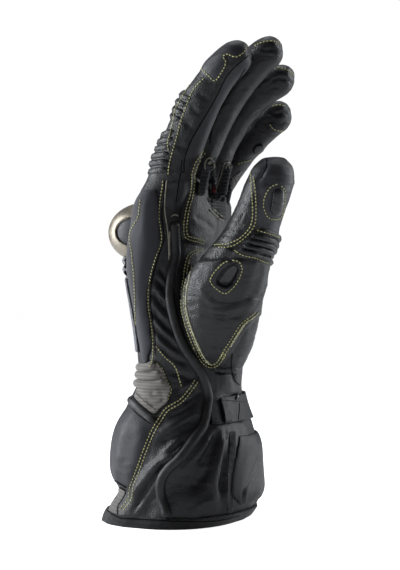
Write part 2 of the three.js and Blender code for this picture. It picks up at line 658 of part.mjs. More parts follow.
const THUMB_RIBS = [
  { at: 0.54, from: -96, to: 24 },
  { at: 0.64, from: -84, to: 24 },
];
const thumbRibs = panel(thumbPoint, THUMB_RIBS, { thick: THIN, rows: 8, columns: 6, ribs: 4 });
piece("thumb_ribs", thumbRibs.subtract(grownThumb), smoothLeather);
const thumbSlider = panel(thumbPoint, oval(0.79, -62, 0.062, 19), { thick: PANEL, rows: 6, columns: 4 });
piece("thumb_slider", thumbSlider.subtract(grownThumb), rubber);

// Rolled tops of the stretch gussets in the finger forks.
const ROLL_RADIUS = 2.8;
const ROLL_TILT = 14;
const ROLLS = [
  { name: "index", out: 0.58, sink: 0.05 },
  { name: "middle", out: 0.58, sink: 0.15 },
  { name: "ring", out: 0.42, sink: 0.75 },
];
ROLLS.forEach(({ name, out, sink }, i) => {
  const roll = new THREE.CapsuleGeometry(ROLL_RADIUS, FINGER_PITCH - ROLL_RADIUS, 2, 8);
  roll.rotateX(Math.PI / 2);
  roll.rotateY(radians(ROLL_TILT));
  const height = lerp(KNUCKLE_Z, TOP_Z, 0.75) - sink * KNUCKLE_DROP;
  roll.translate(out * KNUCKLE_DEPTH, (i - 1) * FINGER_PITCH, height);
  piece(name + "_fork_roll", without(toSolid(roll), grownHand), leather);
});

// The wrist: grey stretch cloth with three ribs.
const WRIST_STRETCH = [
  { at: 0.88, from: -98, to: -84 },
  { at: 0.93, from: -118, to: -78 },
  { at: 0.98, from: -146, to: -76 },
  { at: 1.07, from: -146, to: -88 },
  { at: 1.12, from: -140, to: -101 },
];
const stretchShape = { thick: THIN, rows: 8, columns: 4, ribs: 4 };
const wristStretch = panel(onBody, WRIST_STRETCH, stretchShape);
piece("wrist_stretch", wristStretch.subtract(grownBody), stretch);

// The cuff: the pad at its back with a rolled rim, the guard pad on the palm side and a strip of mesh.
const BACK_PAD = [
  { at: 0.29, from: -222, to: -110 },
  { at: 0.42, from: -222, to: -102 },
  { at: 0.56, from: -222, to: -97 },
  { at: 0.68, from: -222, to: -94 },
  { at: 0.75, from: -222, to: -97 },
  { at: 0.82, from: -222, to: -110 },
];
const cuffPad = { thick: PANEL, crown: 2.2, rows: 6, columns: 6 };
piece("cuff_back_pad", panel(onBody, BACK_PAD, cuffPad).subtract(grownBody), smoothLeather);
const PAD_RIM = [
  { at: 0.88, degrees: -222 },
  { at: 0.9, degrees: -180 },
  { at: 0.91, degrees: -145 },
  { at: 0.89, degrees: -120 },
  { at: 0.855, degrees: -105 },
  { at: 0.81, degrees: -94 },
  { at: 0.77, degrees: -87 },
];
const rimShape = { width: RIM_WIDTH, rise: RIM_RISE, thick: THIN, rows: 10, columns: 2 };
piece("pad_rim", band(onBody, PAD_RIM, rimShape).subtract(grownBody), leather);
const GUARD_PAD = [
  { at: 0.13, from: -8, to: 62 },
  { at: 0.2, from: -20, to: 66 },
  { at: 0.32, from: -21, to: 66 },
  { at: 0.5, from: -14, to: 64 },
  { at: 0.66, from: -6, to: 58 },
];
piece("cuff_guard_pad", panel(onBody, GUARD_PAD, cuffPad).subtract(grownBody), smoothLeather);
const MESH_STRIP = [
  { at: 0.64, degrees: -28 },
  { at: 0.5, degrees: -31 },
  { at: 0.3, degrees: -32 },
  { at: 0.14, degrees: -30 },
];
const meshShape = { width: MESH_WIDTH, rise: 0, thick: THIN, rows: 6 };
piece("mesh_strip", band(onBody, MESH_STRIP, meshShape).subtract(grownBody), mesh);

// The wrist strap with its keeper.
const STRAP_WIDTH = 17;
const STRAP_THICK = 2;
const KEEPER_LIP = 2.5;
const KEEPER_WALL = 1.6;
const STRAP = [
  { at: 0.86, degrees: -22 },
  { at: 0.84, degrees: 0 },
  { at: 0.83, degrees: 30 },
  { at: 0.82, degrees: 64 },
  { at: 0.82, degrees: 96 },
];
const strapShape = { width: STRAP_WIDTH, rise: 0, thick: STRAP_THICK, rows: 9, columns: 2 };
const strapBand = band(onBody, STRAP, strapShape);
piece("wrist_strap", without(strapBand, [grownBody]), leather);
const KEEPER = [
  { at: 0.862, degrees: -10 },
  { at: 0.85, degrees: -1 },
];
const keeperShape = {
  width: STRAP_WIDTH + 2 * KEEPER_LIP,
  rise: 0,
  thick: STRAP_THICK + KEEPER_WALL,
  rows: 2,
  columns: 3,
};
const strapClear = band(onBody, STRAP, {
  ...strapShape,
  width: STRAP_WIDTH + 2 * GAP,
  thick: STRAP_THICK + GAP,
});
piece("strap_keeper", without(band(onBody, KEEPER, keeperShape), [grownBody, strapClear]), smoothLeather);

// The small ring above the strap lies flat on the leather.
const RING_RADIUS = 3.2;
const RING_WIRE = 0.8;
const RING_PLACE = { at: 1.0, degrees: 4 };
const ringLift = 2 * GAP + RING_WIRE;
const ringSeat = onBody(RING_PLACE.at, RING_PLACE.degrees, ringLift);
const ringOut = onBody(RING_PLACE.at, RING_PLACE.degrees, ringLift + 1);
const ringFacing = ringOut.sub(ringSeat).normalize();
const strapRing = new THREE.TorusGeometry(RING_RADIUS, RING_WIRE, 5, 12);
const upwards = new THREE.Vector3(0, 0, 1);
strapRing.applyQuaternion(new THREE.Quaternion().setFromUnitVectors(upwards, ringFacing));
strapRing.translate(ringSeat.x, ringSeat.y, ringSeat.z);
piece("strap_ring", toSolid(strapRing).subtract(grownBody), metal);

// The origin is under the middle of the glove, on the plane of the hem.
const whole = new THREE.Box3().setFromObject(glove);
glove.position.set(-(whole.min.x + whole.max.x) / 2, -(whole.min.y + whole.max.y) / 2, 0);

export default glove;
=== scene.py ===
# %% [markdown]
# # A racing gauntlet in black leather
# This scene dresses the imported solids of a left-hand motorcycle gauntlet. The glove stands on the hem of its
# cuff, and the fingers curl towards the palm. The solids already have the right size and place, so each step
# takes a copy of a solid, turns it into leather, cloth or metal, and adds the seams, folds and stitches that
# a solid leaves out. Lengths are in metres, and MM turns a size in millimetres into metres.

# %% The frame
import math

import bmesh
import bpy
import numpy as np
from mathutils import Matrix, Vector, noise
from mathutils.bvhtree import BVHTree


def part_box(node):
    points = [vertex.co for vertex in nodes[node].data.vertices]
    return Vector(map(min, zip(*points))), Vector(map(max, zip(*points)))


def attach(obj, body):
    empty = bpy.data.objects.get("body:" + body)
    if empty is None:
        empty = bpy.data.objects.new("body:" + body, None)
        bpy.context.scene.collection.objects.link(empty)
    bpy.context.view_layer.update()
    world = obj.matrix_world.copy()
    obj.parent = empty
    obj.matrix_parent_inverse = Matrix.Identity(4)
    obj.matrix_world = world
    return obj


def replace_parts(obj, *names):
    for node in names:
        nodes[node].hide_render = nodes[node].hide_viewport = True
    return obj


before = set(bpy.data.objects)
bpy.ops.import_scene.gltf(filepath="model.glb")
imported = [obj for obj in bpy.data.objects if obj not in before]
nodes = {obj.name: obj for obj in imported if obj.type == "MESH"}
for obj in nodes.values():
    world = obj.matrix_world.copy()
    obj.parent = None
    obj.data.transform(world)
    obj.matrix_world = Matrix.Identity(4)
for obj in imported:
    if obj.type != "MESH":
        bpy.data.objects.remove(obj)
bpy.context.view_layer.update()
MM = 0.001

# %% [markdown]
# The camera stands where the photographer stood: level, about a metre away, and turned 28 degrees round the
# glove from its thumb side. A long lens keeps the fingers from looking larger than the cuff. The place is
# measured from the low corner of the cuff's solid, so it follows the glove if its box changes.

# %% The camera
IMAGE_WIDTH, IMAGE_HEIGHT = 400, 570
FOCAL_PIXELS = 1452
CAMERA_TURN = math.radians(28)
CAMERA_AWAY, CAMERA_SIDE, CAMERA_HEIGHT = 944 * MM, 9.75 * MM, 151 * MM
CUFF_CORNER = Vector((-48.05, -51.06, 0)) * MM  # the cuff's low corner, measured from the wrist's axis
cuff_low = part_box("cuff_shell")[0]
AXIS = Vector((cuff_low[0] - CUFF_CORNER.x, cuff_low[1] - CUFF_CORNER.y, 0))  # foot of the wrist's axis
RIGHT = Vector((math.cos(CAMERA_TURN), math.sin(CAMERA_TURN), 0))
AHEAD = Vector((-math.sin(CAMERA_TURN), math.cos(CAMERA_TURN), 0))
UP = Vector((0, 0, 1))
EYE = AXIS + CAMERA_SIDE * RIGHT - CAMERA_AWAY * AHEAD + CAMERA_HEIGHT * UP

lens = bpy.data.cameras.new("camera")
lens.sensor_fit = "HORIZONTAL"
lens.lens = lens.sensor_width * FOCAL_PIXELS / IMAGE_WIDTH
lens.clip_start, lens.clip_end = 0.05, 50
camera = bpy.data.objects.new("camera", lens)
camera.matrix_world = Matrix.Translation(EYE) @ AHEAD.to_track_quat("-Z", "Y").to_matrix().to_4x4()
bpy.context.scene.collection.objects.link(camera)
bpy.context.scene.camera = camera
print("camera at", [round(c, 3) for c in EYE], "lens", round(lens.lens, 1), "mm")

# %% [markdown]
# Studio pictures of dark leather are lit by large white surfaces on both sides, because smooth leather shows
# little more than what it mirrors. Two tall softboxes stand beside the glove and give the broad highlights
# along its edges. The room behind is pure white for the camera and much dimmer for everything else, so the
# middle of the glove stays dark. The floor glows a little, and runs into the white behind it.

# %% Light and floor
def linear(code):
    """An sRGB hex colour as the linear values that a shader takes."""
    parts = [int(code[i : i + 2], 16) / 255 for i in (1, 3, 5)]
    return [*(c / 12.92 if c <= 0.04045 else ((c + 0.055) / 1.055) ** 2.4 for c in parts), 1.0]


def add(tree, kind, inputs=None):
    """Adds a node. Each input is a value, a socket that is linked to it, or a property of the node."""
    node = tree.nodes.new(kind)
    for name, value in (inputs or {}).items():
        if isinstance(value, bpy.types.NodeSocket):
            tree.links.new(value, node.inputs[name])
        elif isinstance(name, int) or name in node.inputs:
            node.inputs[name].default_value = value
        else:
            setattr(node, name, value)
    return node


def ranged(tree, value, low, high, start=0.0, end=1.0):
    """A socket with a value moved from the range start to end into the range low to high."""
    inputs = {"From Min": start, "From Max": end, "To Min": low, "To Max": high, "Value": value}
    return add(tree, "ShaderNodeMapRange", inputs).outputs["Result"]


def softbox(name, place, target, size, power):
    light = bpy.data.lights.new(name, "AREA")
    light.shape, light.size, light.size_y, light.energy = "RECTANGLE", size[0], size[1], power
    light.color = (0.93, 0.96, 1.0)
    lamp = bpy.data.objects.new(name, light)
    towards = Vector(target) - Vector(place)
    lamp.matrix_world = Matrix.Translation(place) @ towards.to_track_quat("-Z", "Y").to_matrix().to_4x4()
    bpy.context.scene.collection.objects.link(lamp)


MIDDLE = AXIS + Vector((0, 0, 0.15))
softbox("left_softbox", MIDDLE - 0.9 * RIGHT + 0.1 * AHEAD + 0.15 * UP, MIDDLE, (0.5, 1.0), 16)
softbox("right_softbox", MIDDLE + 0.9 * RIGHT + 0.4 * AHEAD + 0.3 * UP, MIDDLE, (0.5, 1.0), 6)
softbox("top_softbox", MIDDLE + 1.1 * UP + 0.3 * AHEAD, MIDDLE, (0.8, 0.5), 5)


def glow(tree, dim, bright):
    """A strength that is dim as a light and bright for the camera."""
    return ranged(tree, add(tree, "ShaderNodeLightPath").outputs["Is Camera Ray"], dim, bright)


world = bpy.data.worlds.new("studio")
world.use_nodes = True
sky = world.node_tree
sky.nodes.clear()
room = add(sky, "ShaderNodeBackground", {"Color": linear("#ffffff"), "Strength": glow(sky, 0.1, 1.02)})
add(sky, "ShaderNodeOutputWorld", {"Surface": room.outputs["Background"]})
bpy.context.scene.world = world
bpy.context.scene.view_settings.view_transform = "Standard"

floor_mesh = bmesh.new()
bmesh.ops.create_grid(floor_mesh, x_segments=1, y_segments=1, size=12)
floor_data = bpy.data.meshes.new("floor")
floor_mesh.to_mesh(floor_data)
floor_mesh.free()
floor = bpy.data.objects.new("floor", floor_data)
bpy.context.scene.collection.objects.link(floor)
floor_paint = bpy.data.materials.new("painted studio floor")
floor_paint.use_nodes = True
paint = floor_paint.node_tree
floor_shader = paint.nodes["Principled BSDF"]
floor_shader.inputs["Base Color"].default_value = linear("#fbfbfb")
floor_shader.inputs["Roughness"].default_value = 0.9
floor_shader.inputs["Emission Color"].default_value = linear("#ffffff")
paint.links.new(glow(paint, 0.1, 0.9), floor_shader.inputs["Emission Strength"])
floor_data.materials.append(floor_paint)
print("lights and floor are in place")

# %% [markdown]
# ## Materials
# Drum-dyed cowhide is black through and through. Its grain is a net of small pebbles about a millimetre
# across, and its gloss changes from place to place where it has been rubbed. The net is a Voronoi pattern
# bent by noise, finer creases come from ridged noise, and both only move the light through bump.

# %% Leather
# Where the smooth mark is high the leather turns this lighter colour: rubbed leather on the finger strips and
# pads, and at the thumb's tip also a painted highlight
WORN_AND_LIT = "#35353b"  # the colour of smooth, rubbed leather


def material(name):
    """A material, its empty node tree, and the socket of its object coordinates."""
    made = bpy.data.materials.new(name)
    made.use_nodes = True
    tree = made.node_tree
    tree.nodes.clear()
    return made, tree, add(tree, "ShaderNodeTexCoord").outputs["Object"]


def noisy(tree, place, size, detail, kind="FBM", output="Fac"):
    """Noise with patches size mm across."""
    inputs = {"noise_type": kind, "Scale": 1 / (size * MM), "Detail": detail, "Vector": place}
    return add(tree, "ShaderNodeTexNoise", inputs).outputs[output]


def moved(tree, place, **how):
    """Coordinates turned or stretched, so that a pattern is drawn out."""
    inputs = {name.title(): value for name, value in how.items()}
    return add(tree, "ShaderNodeMapping", {**inputs, "Vector": place}).outputs["Vector"]


def blend(tree, share, dark, light):
    """A colour between dark and light."""
    return add(tree, "ShaderNodeMix", {"data_type": "RGBA", "Factor": share, 6: dark, 7: light}).outputs[2]


def bump(tree, height, strength, distance, under=None):
    """Bump distance mm high, on top of another bump."""
    inputs = {"Height": height, "Strength": strength, "Distance": distance * MM}
    if under is not None:
        inputs["Normal"] = under
    return add(tree, "ShaderNodeBump", inputs).outputs["Normal"]


def finish(tree, inputs):
    shader = add(tree, "ShaderNodeBsdfPrincipled", inputs)
    add(tree, "ShaderNodeOutputMaterial", {"Surface": shader.outputs["BSDF"]})


def leather(name, dark, light, rough, grain, depth, sheen=0.0, level=0.42):
    """Leather. grain is the pebbles' size in mm and depth the bump's height in mm. Where the mesh's attribute
    called smooth is 1, it is lighter, more matt and less grained."""
    made, tree, place = material(name)
    smooth = add(tree, "ShaderNodeAttribute", {"attribute_name": "smooth"}).outputs["Fac"]
    bend = noisy(tree, place, 4 * grain, 2.0, output="Color")
    bent = add(tree, "ShaderNodeMix", {"data_type": "VECTOR", "Factor": 0.25 * MM, 4: place, 5: bend})
    net = {"feature": "DISTANCE_TO_EDGE", "Scale": 1 / (grain * MM), "Vector": bent.outputs[1]}
    pebbles = add(tree, "ShaderNodeTexVoronoi", net).outputs["Distance"]
    drawn = moved(tree, place, scale=(0.6, 0.6, 1.6))
    creases = noisy(tree, drawn, 6 * grain, 5.0, kind="RIDGED_MULTIFRACTAL")
    patches = noisy(tree, place, 18, 4.0)
    colour = blend(tree, smooth, blend(tree, patches, linear(dark), linear(light)), linear(WORN_AND_LIT))
    gloss = ranged(tree, patches, rough - 0.07, rough + 0.07, 0.3, 0.7)
    matt = add(tree, "ShaderNodeMath", {"operation": "MULTIPLY_ADD", 0: smooth, 1: 0.12, 2: gloss})
    fine = bump(tree, pebbles, ranged(tree, smooth, 0.8, 0.15), depth)
    folded = bump(tree, creases, 0.6, 2.6 * depth, fine)
    look = {"Base Color": colour, "Roughness": matt.outputs["Value"], "Normal": folded}
    finish(tree, {**look, "Specular IOR Level": level, "Sheen Weight": sheen, "Sheen Roughness": 0.4})
    return made


cowhide = leather("drum-dyed cowhide", "#0d0d10", "#18181c", 0.48, 1.6, 0.36, level=0.44)
goatskin = leather("finger goatskin", "#0f0f12", "#1b1b20", 0.43, 1.3, 0.45, level=0.5)
padded_hide = leather("padded smooth cowhide", "#151518", "#212126", 0.5, 0.9, 0.12, level=0.42)
microfibre = leather("bolster microfibre suede", "#27272d", "#34343b", 0.66, 0.8, 0.1, sheen=0.25, level=0.38)
rolled_hide = leather("rolled edge cowhide", "#141416", "#1f1f22", 0.5, 0.9, 0.2, level=0.45)
strap_hide = leather("strap cowhide", "#0a0a0c", "#131316", 0.52, 1.2, 0.25, level=0.35)
print("leathers", [m.name for m in bpy.data.materials if "hide" in m.name or "skin" in m.name])

# %% [markdown]
# The cloths are knitted or woven. The wrist is a grey stretch knit whose fine ribs run round it, the hem is
# a dense black tape, and the strip beside the cuff's pad is an open mesh. A wave pattern stands for threads,
# drawn about a millimetre apart, because real threads of a third of that would not show.

# %% Cloth, rubber, thread and metal
def woven(name, dark, light, pitch, turn, rough=0.85, sheen=0.2, depth=0.18):
    """Cloth with ribs pitch mm apart. turn tilts the ribs, in degrees round each axis."""
    made, tree, place = material(name)
    turned = moved(tree, place, rotation=[math.radians(a) for a in turn])
    wave = {"Scale": 1 / (pitch * MM) * 0.314 / 2, "Distortion": 1.2, "Detail": 2.0, "Detail Scale": 3.0}
    threads = add(tree, "ShaderNodeTexWave", {**wave, "Vector": turned}).outputs["Fac"]
    patches = noisy(tree, place, 9, 5.0)
    share = add(tree, "ShaderNodeMath", {"operation": "MULTIPLY", 0: threads, 1: patches}).outputs["Value"]
    colour = blend(tree, share, linear(dark), linear(light))
    look = {"Base Color": colour, "Roughness": rough, "Normal": bump(tree, threads, 0.8, depth)}
    finish(tree, {**look, "Specular IOR Level": 0.3, "Sheen Weight": sheen, "Sheen Roughness": 0.5})
    return made


def moulded(name, dark, light, rough, metallic=0.0, level=0.5, grain=2.0, depth=0.05, stretch=(1, 1, 1)):
    """Rubber, plastic or metal with a faint texture grain mm across, drawn out by stretch."""
    made, tree, place = material(name)
    marks = noisy(tree, moved(tree, place, scale=stretch), grain, 4.0)
    colour = blend(tree, marks, linear(dark), linear(light))
    gloss = ranged(tree, marks, rough - 0.06, rough + 0.06, 0.3, 0.7)
    look = {"Base Color": colour, "Roughness": gloss, "Normal": bump(tree, marks, 0.5, depth)}
    finish(tree, {**look, "Specular IOR Level": level, "Metallic": metallic})
    return made


stretch_knit = woven("grey stretch knit", "#6a6763", "#908c88", 1.0, (0, 90, 0), depth=0.03)
hem_tape = woven("woven hem tape", "#141415", "#2b2b2d", 1.0, (0, 90, 35), depth=0.12)
mesh_cloth = woven("open mesh cloth", "#050506", "#151517", 1.5, (0, 45, 0), depth=0.4)
gusset_knit = woven("ribbed gusset elastic", "#1c1c1f", "#47474b", 1.2, (0, 90, 0), depth=0.15)
satin = woven("satin reflector cloth", "#5e5e64", "#85858b", 1.0, (90, 0, 0), 0.6, sheen=0.0, depth=0.05)
ash_knit = woven("pale lining knit", "#5f5c59", "#787572", 1.1, (0, 90, 0), depth=0.03)
rubber = moulded("moulded rubber", "#131315", "#1e1e20", 0.5)
pebbled_rubber = moulded("pebbled guard bed", "#19191e", "#25252b", 0.5, grain=1.5, depth=0.12)
slider = moulded("polished nylon slider", "#101012", "#19191c", 0.3, level=0.6)
guard_metal = moulded(
    "brushed titanium", "#7d766a", "#a49c8f", 0.42, metallic=0.9, grain=1.4, depth=0.06, stretch=(1, 0.1, 1)
)
dark_steel = moulded("blued steel", "#4c4c50", "#7a7a7e", 0.3, metallic=1.0)
ash_rubber = moulded("grey rib rubber", "#6c6c71", "#8a8a90", 0.5)
pale_thread = moulded("waxed pale thread", "#a9a96c", "#dedaa4", 0.6, grain=1.2, level=0.35)
worn_thread = moulded("worn pale cord", "#8f9070", "#d5d3b4", 0.7, grain=1.6, level=0.35)
black_thread = moulded("bonded black thread", "#1a1a1c", "#2e2e31", 0.5, grain=1.2)
# near-black rolls laid along seams as painted shade, standing for the shadow in each seam's groove
painted_seam_shade = moulded("seam shadow", "#050506", "#0b0b0c", 0.8, grain=1.5, level=0.1)
piping = moulded("grey edge piping", "#6a675c", "#a6a293", 0.55, grain=1.8)
red_cloth = woven("red loop tape", "#5c1018", "#b3202e", 1.0, (0, 90, 0))
print("materials", len(bpy.data.materials))

# %% [markdown]
# ## From solid to skin
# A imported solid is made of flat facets. Voxel remeshing turns a merged copy into an even net of small
# faces, and smoothing melts the facets into one soft surface. Pieces that are one skin on the real glove are
# remeshed together, so that no gap shows between them: the cuff, the hand and the index finger are such a
# skin, because the leather of the thumb side runs through from the hem to the fingertip.

# %% Helpers for skins
ROOT = "root"
SIDES = [(1, 0, 0), (-1, 0, 0), (0, 1, 0), (0, -1, 0), (0, 0, 1), (0, 0, -1)]


def settle(obj):
    """Applies the modifiers of a piece."""
    graph = bpy.context.evaluated_depsgraph_get()
    settled = bpy.data.meshes.new_from_object(obj.evaluated_get(graph))
    old = obj.data
    obj.modifiers.clear()
    obj.data = settled
    bpy.data.meshes.remove(old)


def new_piece(name, shape, surface):
    """Turns a bmesh into a piece of the glove."""
    data = bpy.data.meshes.new(name)
    shape.to_mesh(data)
    shape.free()
    piece = bpy.data.objects.new(name, data)
    bpy.context.scene.collection.objects.link(piece)
    data.materials.append(surface)
    data.polygons.foreach_set("use_smooth", [True] * len(data.polygons))
    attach(piece, ROOT)
    return piece


def skin(name, sources, surface, voxel, rounds, padding=(), bridge=0.0):
    """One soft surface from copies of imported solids. voxel is in mm. The solids in padding swell the surface
    below the pieces that replace them. bridge is a distance in mm: copies moved by it to each side close the
    narrow joints between solids, and keep thin walls from breaking up."""
    shape = bmesh.new()
    for source in [*sources, *padding]:
        shape.from_mesh(nodes[source].data)
    for way in SIDES if bridge else ():
        for source in sources:
            start = len(shape.verts)
            shape.from_mesh(nodes[source].data)
            shape.verts.ensure_lookup_table()
            bmesh.ops.translate(shape, verts=shape.verts[start:], vec=Vector(way) * bridge * MM)
    bmesh.ops.remove_doubles(shape, verts=shape.verts, dist=0.002 * MM)
    piece = new_piece(name, shape, surface)
    net = piece.modifiers.new("net", "REMESH")
    net.mode, net.voxel_size, net.use_smooth_shade = "VOXEL", voxel * MM, True
    melt = piece.modifiers.new("melt", "SMOOTH")
    melt.factor, melt.iterations = 0.5, rounds
    settle(piece)
    piece.data.materials.clear()
    piece.data.materials.append(surface)
    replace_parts(piece, *sources)
    return piece


def values_of(items, name):
    """One vector attribute of many mesh elements, as an array."""
    flat = np.empty(len(items) * 3, np.float32)
    items.foreach_get(name, flat)
    return flat.reshape(-1, 3).astype(float)


def points_of(piece):
    return values_of(piece.data.vertices, "co")


def normals_of(piece):
    return values_of(piece.data.vertex_normals, "vector")


def put_points(piece, points):
    piece.data.vertices.foreach_set("co", points.astype(np.float32).ravel())
    piece.data.update()


# %% The main skins
RIBS = ("_low_ribs", "_high_ribs")
GLOVE_SOLIDS = ["cuff_shell", "cuff_back_pad", "hand_shell", "index_finger", "index_tip_patch", "index_patch"]
THUMB_SOLIDS = ["thumb_ball", "thumb", "palm_patch"]
index_ribs = ["index" + end for end in RIBS]
glove = skin("glove_skin", GLOVE_SOLIDS, cowhide, 1.3, 24, padding=index_ribs, bridge=0.5)
middle, ring, little = [
    skin(
        name + "_skin",
        [name + "_finger", name + "_tip_patch"],
        goatskin,
        1.0,
        26,
        padding=[name + end for end in RIBS],
    )
    for name in ("middle", "ring", "little")
]
thumb = skin("thumb_skin", THUMB_SOLIDS, goatskin, 0.95, 34, padding=["thumb_ribs"])
main_skins = [glove, middle, ring, little, thumb]
for piece in main_skins:
    print(piece.name, len(piece.data.polygons), "faces")

# %% [markdown]
# ## Lines on the leather
# Seams, stitches and folds all follow lines on the skin. Where the photograph shows a line, it is written
# down by the places in the picture that it passes, and a ray from the camera finds each place on the
# leather. Lines on the other sides are written by height and angle round the wrist's axis.

# %% Finding places on the skin
def tree_of(pieces):
    """A search tree over the faces of several pieces."""
    points, faces = [], []
    for piece in pieces:
        start = len(points)
        points += [v.co.copy() for v in piece.data.vertices]
        faces += [[start + i for i in face.vertices] for face in piece.data.polygons]
    return BVHTree.FromPolygons(points, faces)


def spread(marks, step):
    """Points at even steps along a smooth line through the marks."""
    marks = [Vector(m) for m in marks]
    ends = [2 * marks[0] - marks[1]] + marks + [2 * marks[-1] - marks[-2]]
    fine = []
    for a, b, c, d in zip(ends, ends[1:], ends[2:], ends[3:]):
        for k in range(16):
            t = k / 16
            fine.append(
                0.5
                * (2 * b + (c - a) * t + (2 * a - 5 * b + 4 * c - d) * t * t + (3 * b - a - 3 * c + d) * t**3)
            )
    fine.append(marks[-1])
    even, gone = [fine[0]], 0.0
    for p, q in zip(fine, fine[1:]):
        length = (q - p).length
        while length > 0 and gone + length >= step:
            p = p + (q - p) * ((step - gone) / length)
            even.append(p)
            length, gone = (q - p).length, 0.0
        gone += length
    return even


def from_camera(tree, u, v):
    """The place and normal where the camera's ray through a picture point meets the leather."""
    ray = AHEAD + RIGHT * (u - IMAGE_WIDTH / 2) / FOCAL_PIXELS - UP * (v - IMAGE_HEIGHT / 2) / FOCAL_PIXELS
    return tree.ray_cast(EYE, ray.normalized(), 2.0)[:2]


def from_side(tree, degrees, z, reach=0.12):
    """The place and normal on the leather at an angle round the wrist's axis and a height in mm."""
    out = Vector((math.cos(math.radians(degrees)), math.sin(math.radians(degrees)), 0))
    return tree.ray_cast(AXIS + out * reach + UP * z * MM, -out, reach)[:2]


def seen(tree, marks, step=1.5):
    """Places and normals on the leather along a line of picture points."""
    hits = [from_camera(tree, u, v) for u, v in spread(marks, step)]
    return [hit for hit in hits if hit[0] is not None]


def around(tree, marks, step=3.0):
    """Places and normals on the leather along a line of heights and angles."""
    hits = [from_side(tree, degrees, z) for z, degrees in spread(marks, step)]
    return [hit for hit in hits if hit[0] is not None]


def press(piece, line, width, rise):
    """Raises a ridge, or presses a groove, along a line. width and rise are in mm."""
    if len(line) < 2:
        return
    points, normals = points_of(piece), normals_of(piece)
    path = np.array([p for p, _ in line])
    facing = np.array([n for _, n in line])
    reach = 2.2 * width * MM
    near = np.all((points > path.min(0) - reach) & (points < path.max(0) + reach), axis=1)
    chosen = np.flatnonzero(near)
    if not len(chosen):
        return
    gap = np.full(len(chosen), 1e9)
    best = np.zeros(len(chosen), int)
    for a in range(0, len(chosen), 4000):
        part = points[chosen[a : a + 4000]]
        away = np.linalg.norm(part[:, None] - path[None], axis=2)
        best[a : a + 4000] = away.argmin(1)
        gap[a : a + 4000] = away.min(1)
    same = (normals[chosen] * facing[best]).sum(1) > 0.15
    amount = np.where(same, rise * MM * np.exp(-((gap / (width * MM)) ** 2)), 0)
    ends = np.minimum(best, len(path) - 1 - best) / max(1.0, 0.18 * len(path))
    amount *= np.clip(ends + 0.25, 0, 1)
    points[chosen] += normals[chosen] * amount[:, None]
    put_points(piece, points)


def lengths(line):
    total = [0.0]
    for (p, _), (q, _) in zip(line, line[1:]):
        total.append(total[-1] + (q - p).length)
    return total


def at_length(line, total, wanted):
    i = min(len(line) - 2, max(0, int(np.searchsorted(total, wanted) - 1)))
    span = max(1e-9, total[i + 1] - total[i])
    t = (wanted - total[i]) / span
    place = line[i][0].lerp(line[i + 1][0], t)
    normal = line[i][1].lerp(line[i + 1][1], t).normalized()
    return place, normal, (line[i + 1][0] - line[i][0]).normalized()


JUMP = 6.0  # mm between neighbours that don't lie on one piece


def unbroken(line):
    """Splits a line where it jumps from one piece to another behind it."""
    runs = [[line[0]]] if line else []
    for a, b in zip(line, line[1:]):
        if (b[0] - a[0]).length > JUMP * MM:
            runs.append([])
        runs[-1].append(b)
    return [run for run in runs if len(run) > 1]


def in_picture(points):
    """The picture places of many points, as two arrays."""
    away = points - np.array(EYE)
    depth = away @ np.array(AHEAD)
    across = away @ np.array(RIGHT) / depth * FOCAL_PIXELS + IMAGE_WIDTH / 2
    down = IMAGE_HEIGHT / 2 - away @ np.array(UP) / depth * FOCAL_PIXELS
    return across, down


def inside(outline, across, down):
    """How far picture points lie inside a closed outline, in pixels, negative outside."""
    loop = np.array([tuple(m) for m in spread([*outline, outline[0]], 0.8)])
    ends = np.roll(loop, -1, axis=0)
    within = np.zeros(len(across), bool)
    for (x0, y0), (x1, y1) in zip(loop, ends):
        if y0 != y1:
            crossed = (y0 > down) != (y1 > down)
            within ^= crossed & (across < (x1 - x0) * (down - y0) / (y1 - y0) + x0)
    away = np.full(len(across), 1e9)
    for x, y in loop:
        away = np.minimum(away, (across - x) ** 2 + (down - y) ** 2)
    return np.where(within, 1, -1) * np.sqrt(away)


PIXEL = 0.65  # mm of leather that one picture point covers


def emboss(piece, outline, rise, edge=1.6, smooth=0.0):
    """Raises the leather inside a picture outline, with a step edge mm wide. smooth marks its finish."""
    points, normals = points_of(piece), normals_of(piece)
    across, down = in_picture(points)
    marks = np.array(outline)
    near = (across > marks[:, 0].min() - 4) & (across < marks[:, 0].max() + 4)
    near &= (down > marks[:, 1].min() - 4) & (down < marks[:, 1].max() + 4)
    facing = -(normals @ np.array(AHEAD))
    chosen = np.flatnonzero(near & (facing > -0.1))
    step = np.clip(inside(outline, across[chosen], down[chosen]) * PIXEL / edge + 0.5, 0, 1)
    share = step * step * (3 - 2 * step) * np.clip((facing[chosen] + 0.1) / 0.35, 0, 1)
    points[chosen] += normals[chosen] * (share * rise * MM)[:, None]
    put_points(piece, points)
    if smooth:
        mask = piece.data.attributes.get("smooth") or piece.data.attributes.new("smooth", "FLOAT", "POINT")
        values = np.zeros(len(points), np.float32)
        mask.data.foreach_get("value", values)
        values[chosen] = np.maximum(values[chosen], share * smooth)
        mask.data.foreach_set("value", values)


def calm(piece, rounds):
    """Evens out the leather where its attribute called smooth is high."""
    share = np.zeros(len(piece.data.vertices), np.float32)
    piece.data.attributes["smooth"].data.foreach_get("value", share)
    ends = np.empty(len(piece.data.edges) * 2, np.int32)
    piece.data.edges.foreach_get("vertices", ends)
    first, second = ends[::2], ends[1::2]
    points = points_of(piece)
    number = np.bincount(ends, minlength=len(points))[:, None]
    for _ in range(rounds):
        total = np.stack(
            [
                np.bincount(first, points[second, k], len(points))
                + np.bincount(second, points[first, k], len(points))
                for k in range(3)
            ],
            axis=1,
        )
        points += 0.5 * share[:, None] * (total / np.maximum(number, 1) - points)
    put_points(piece, points)


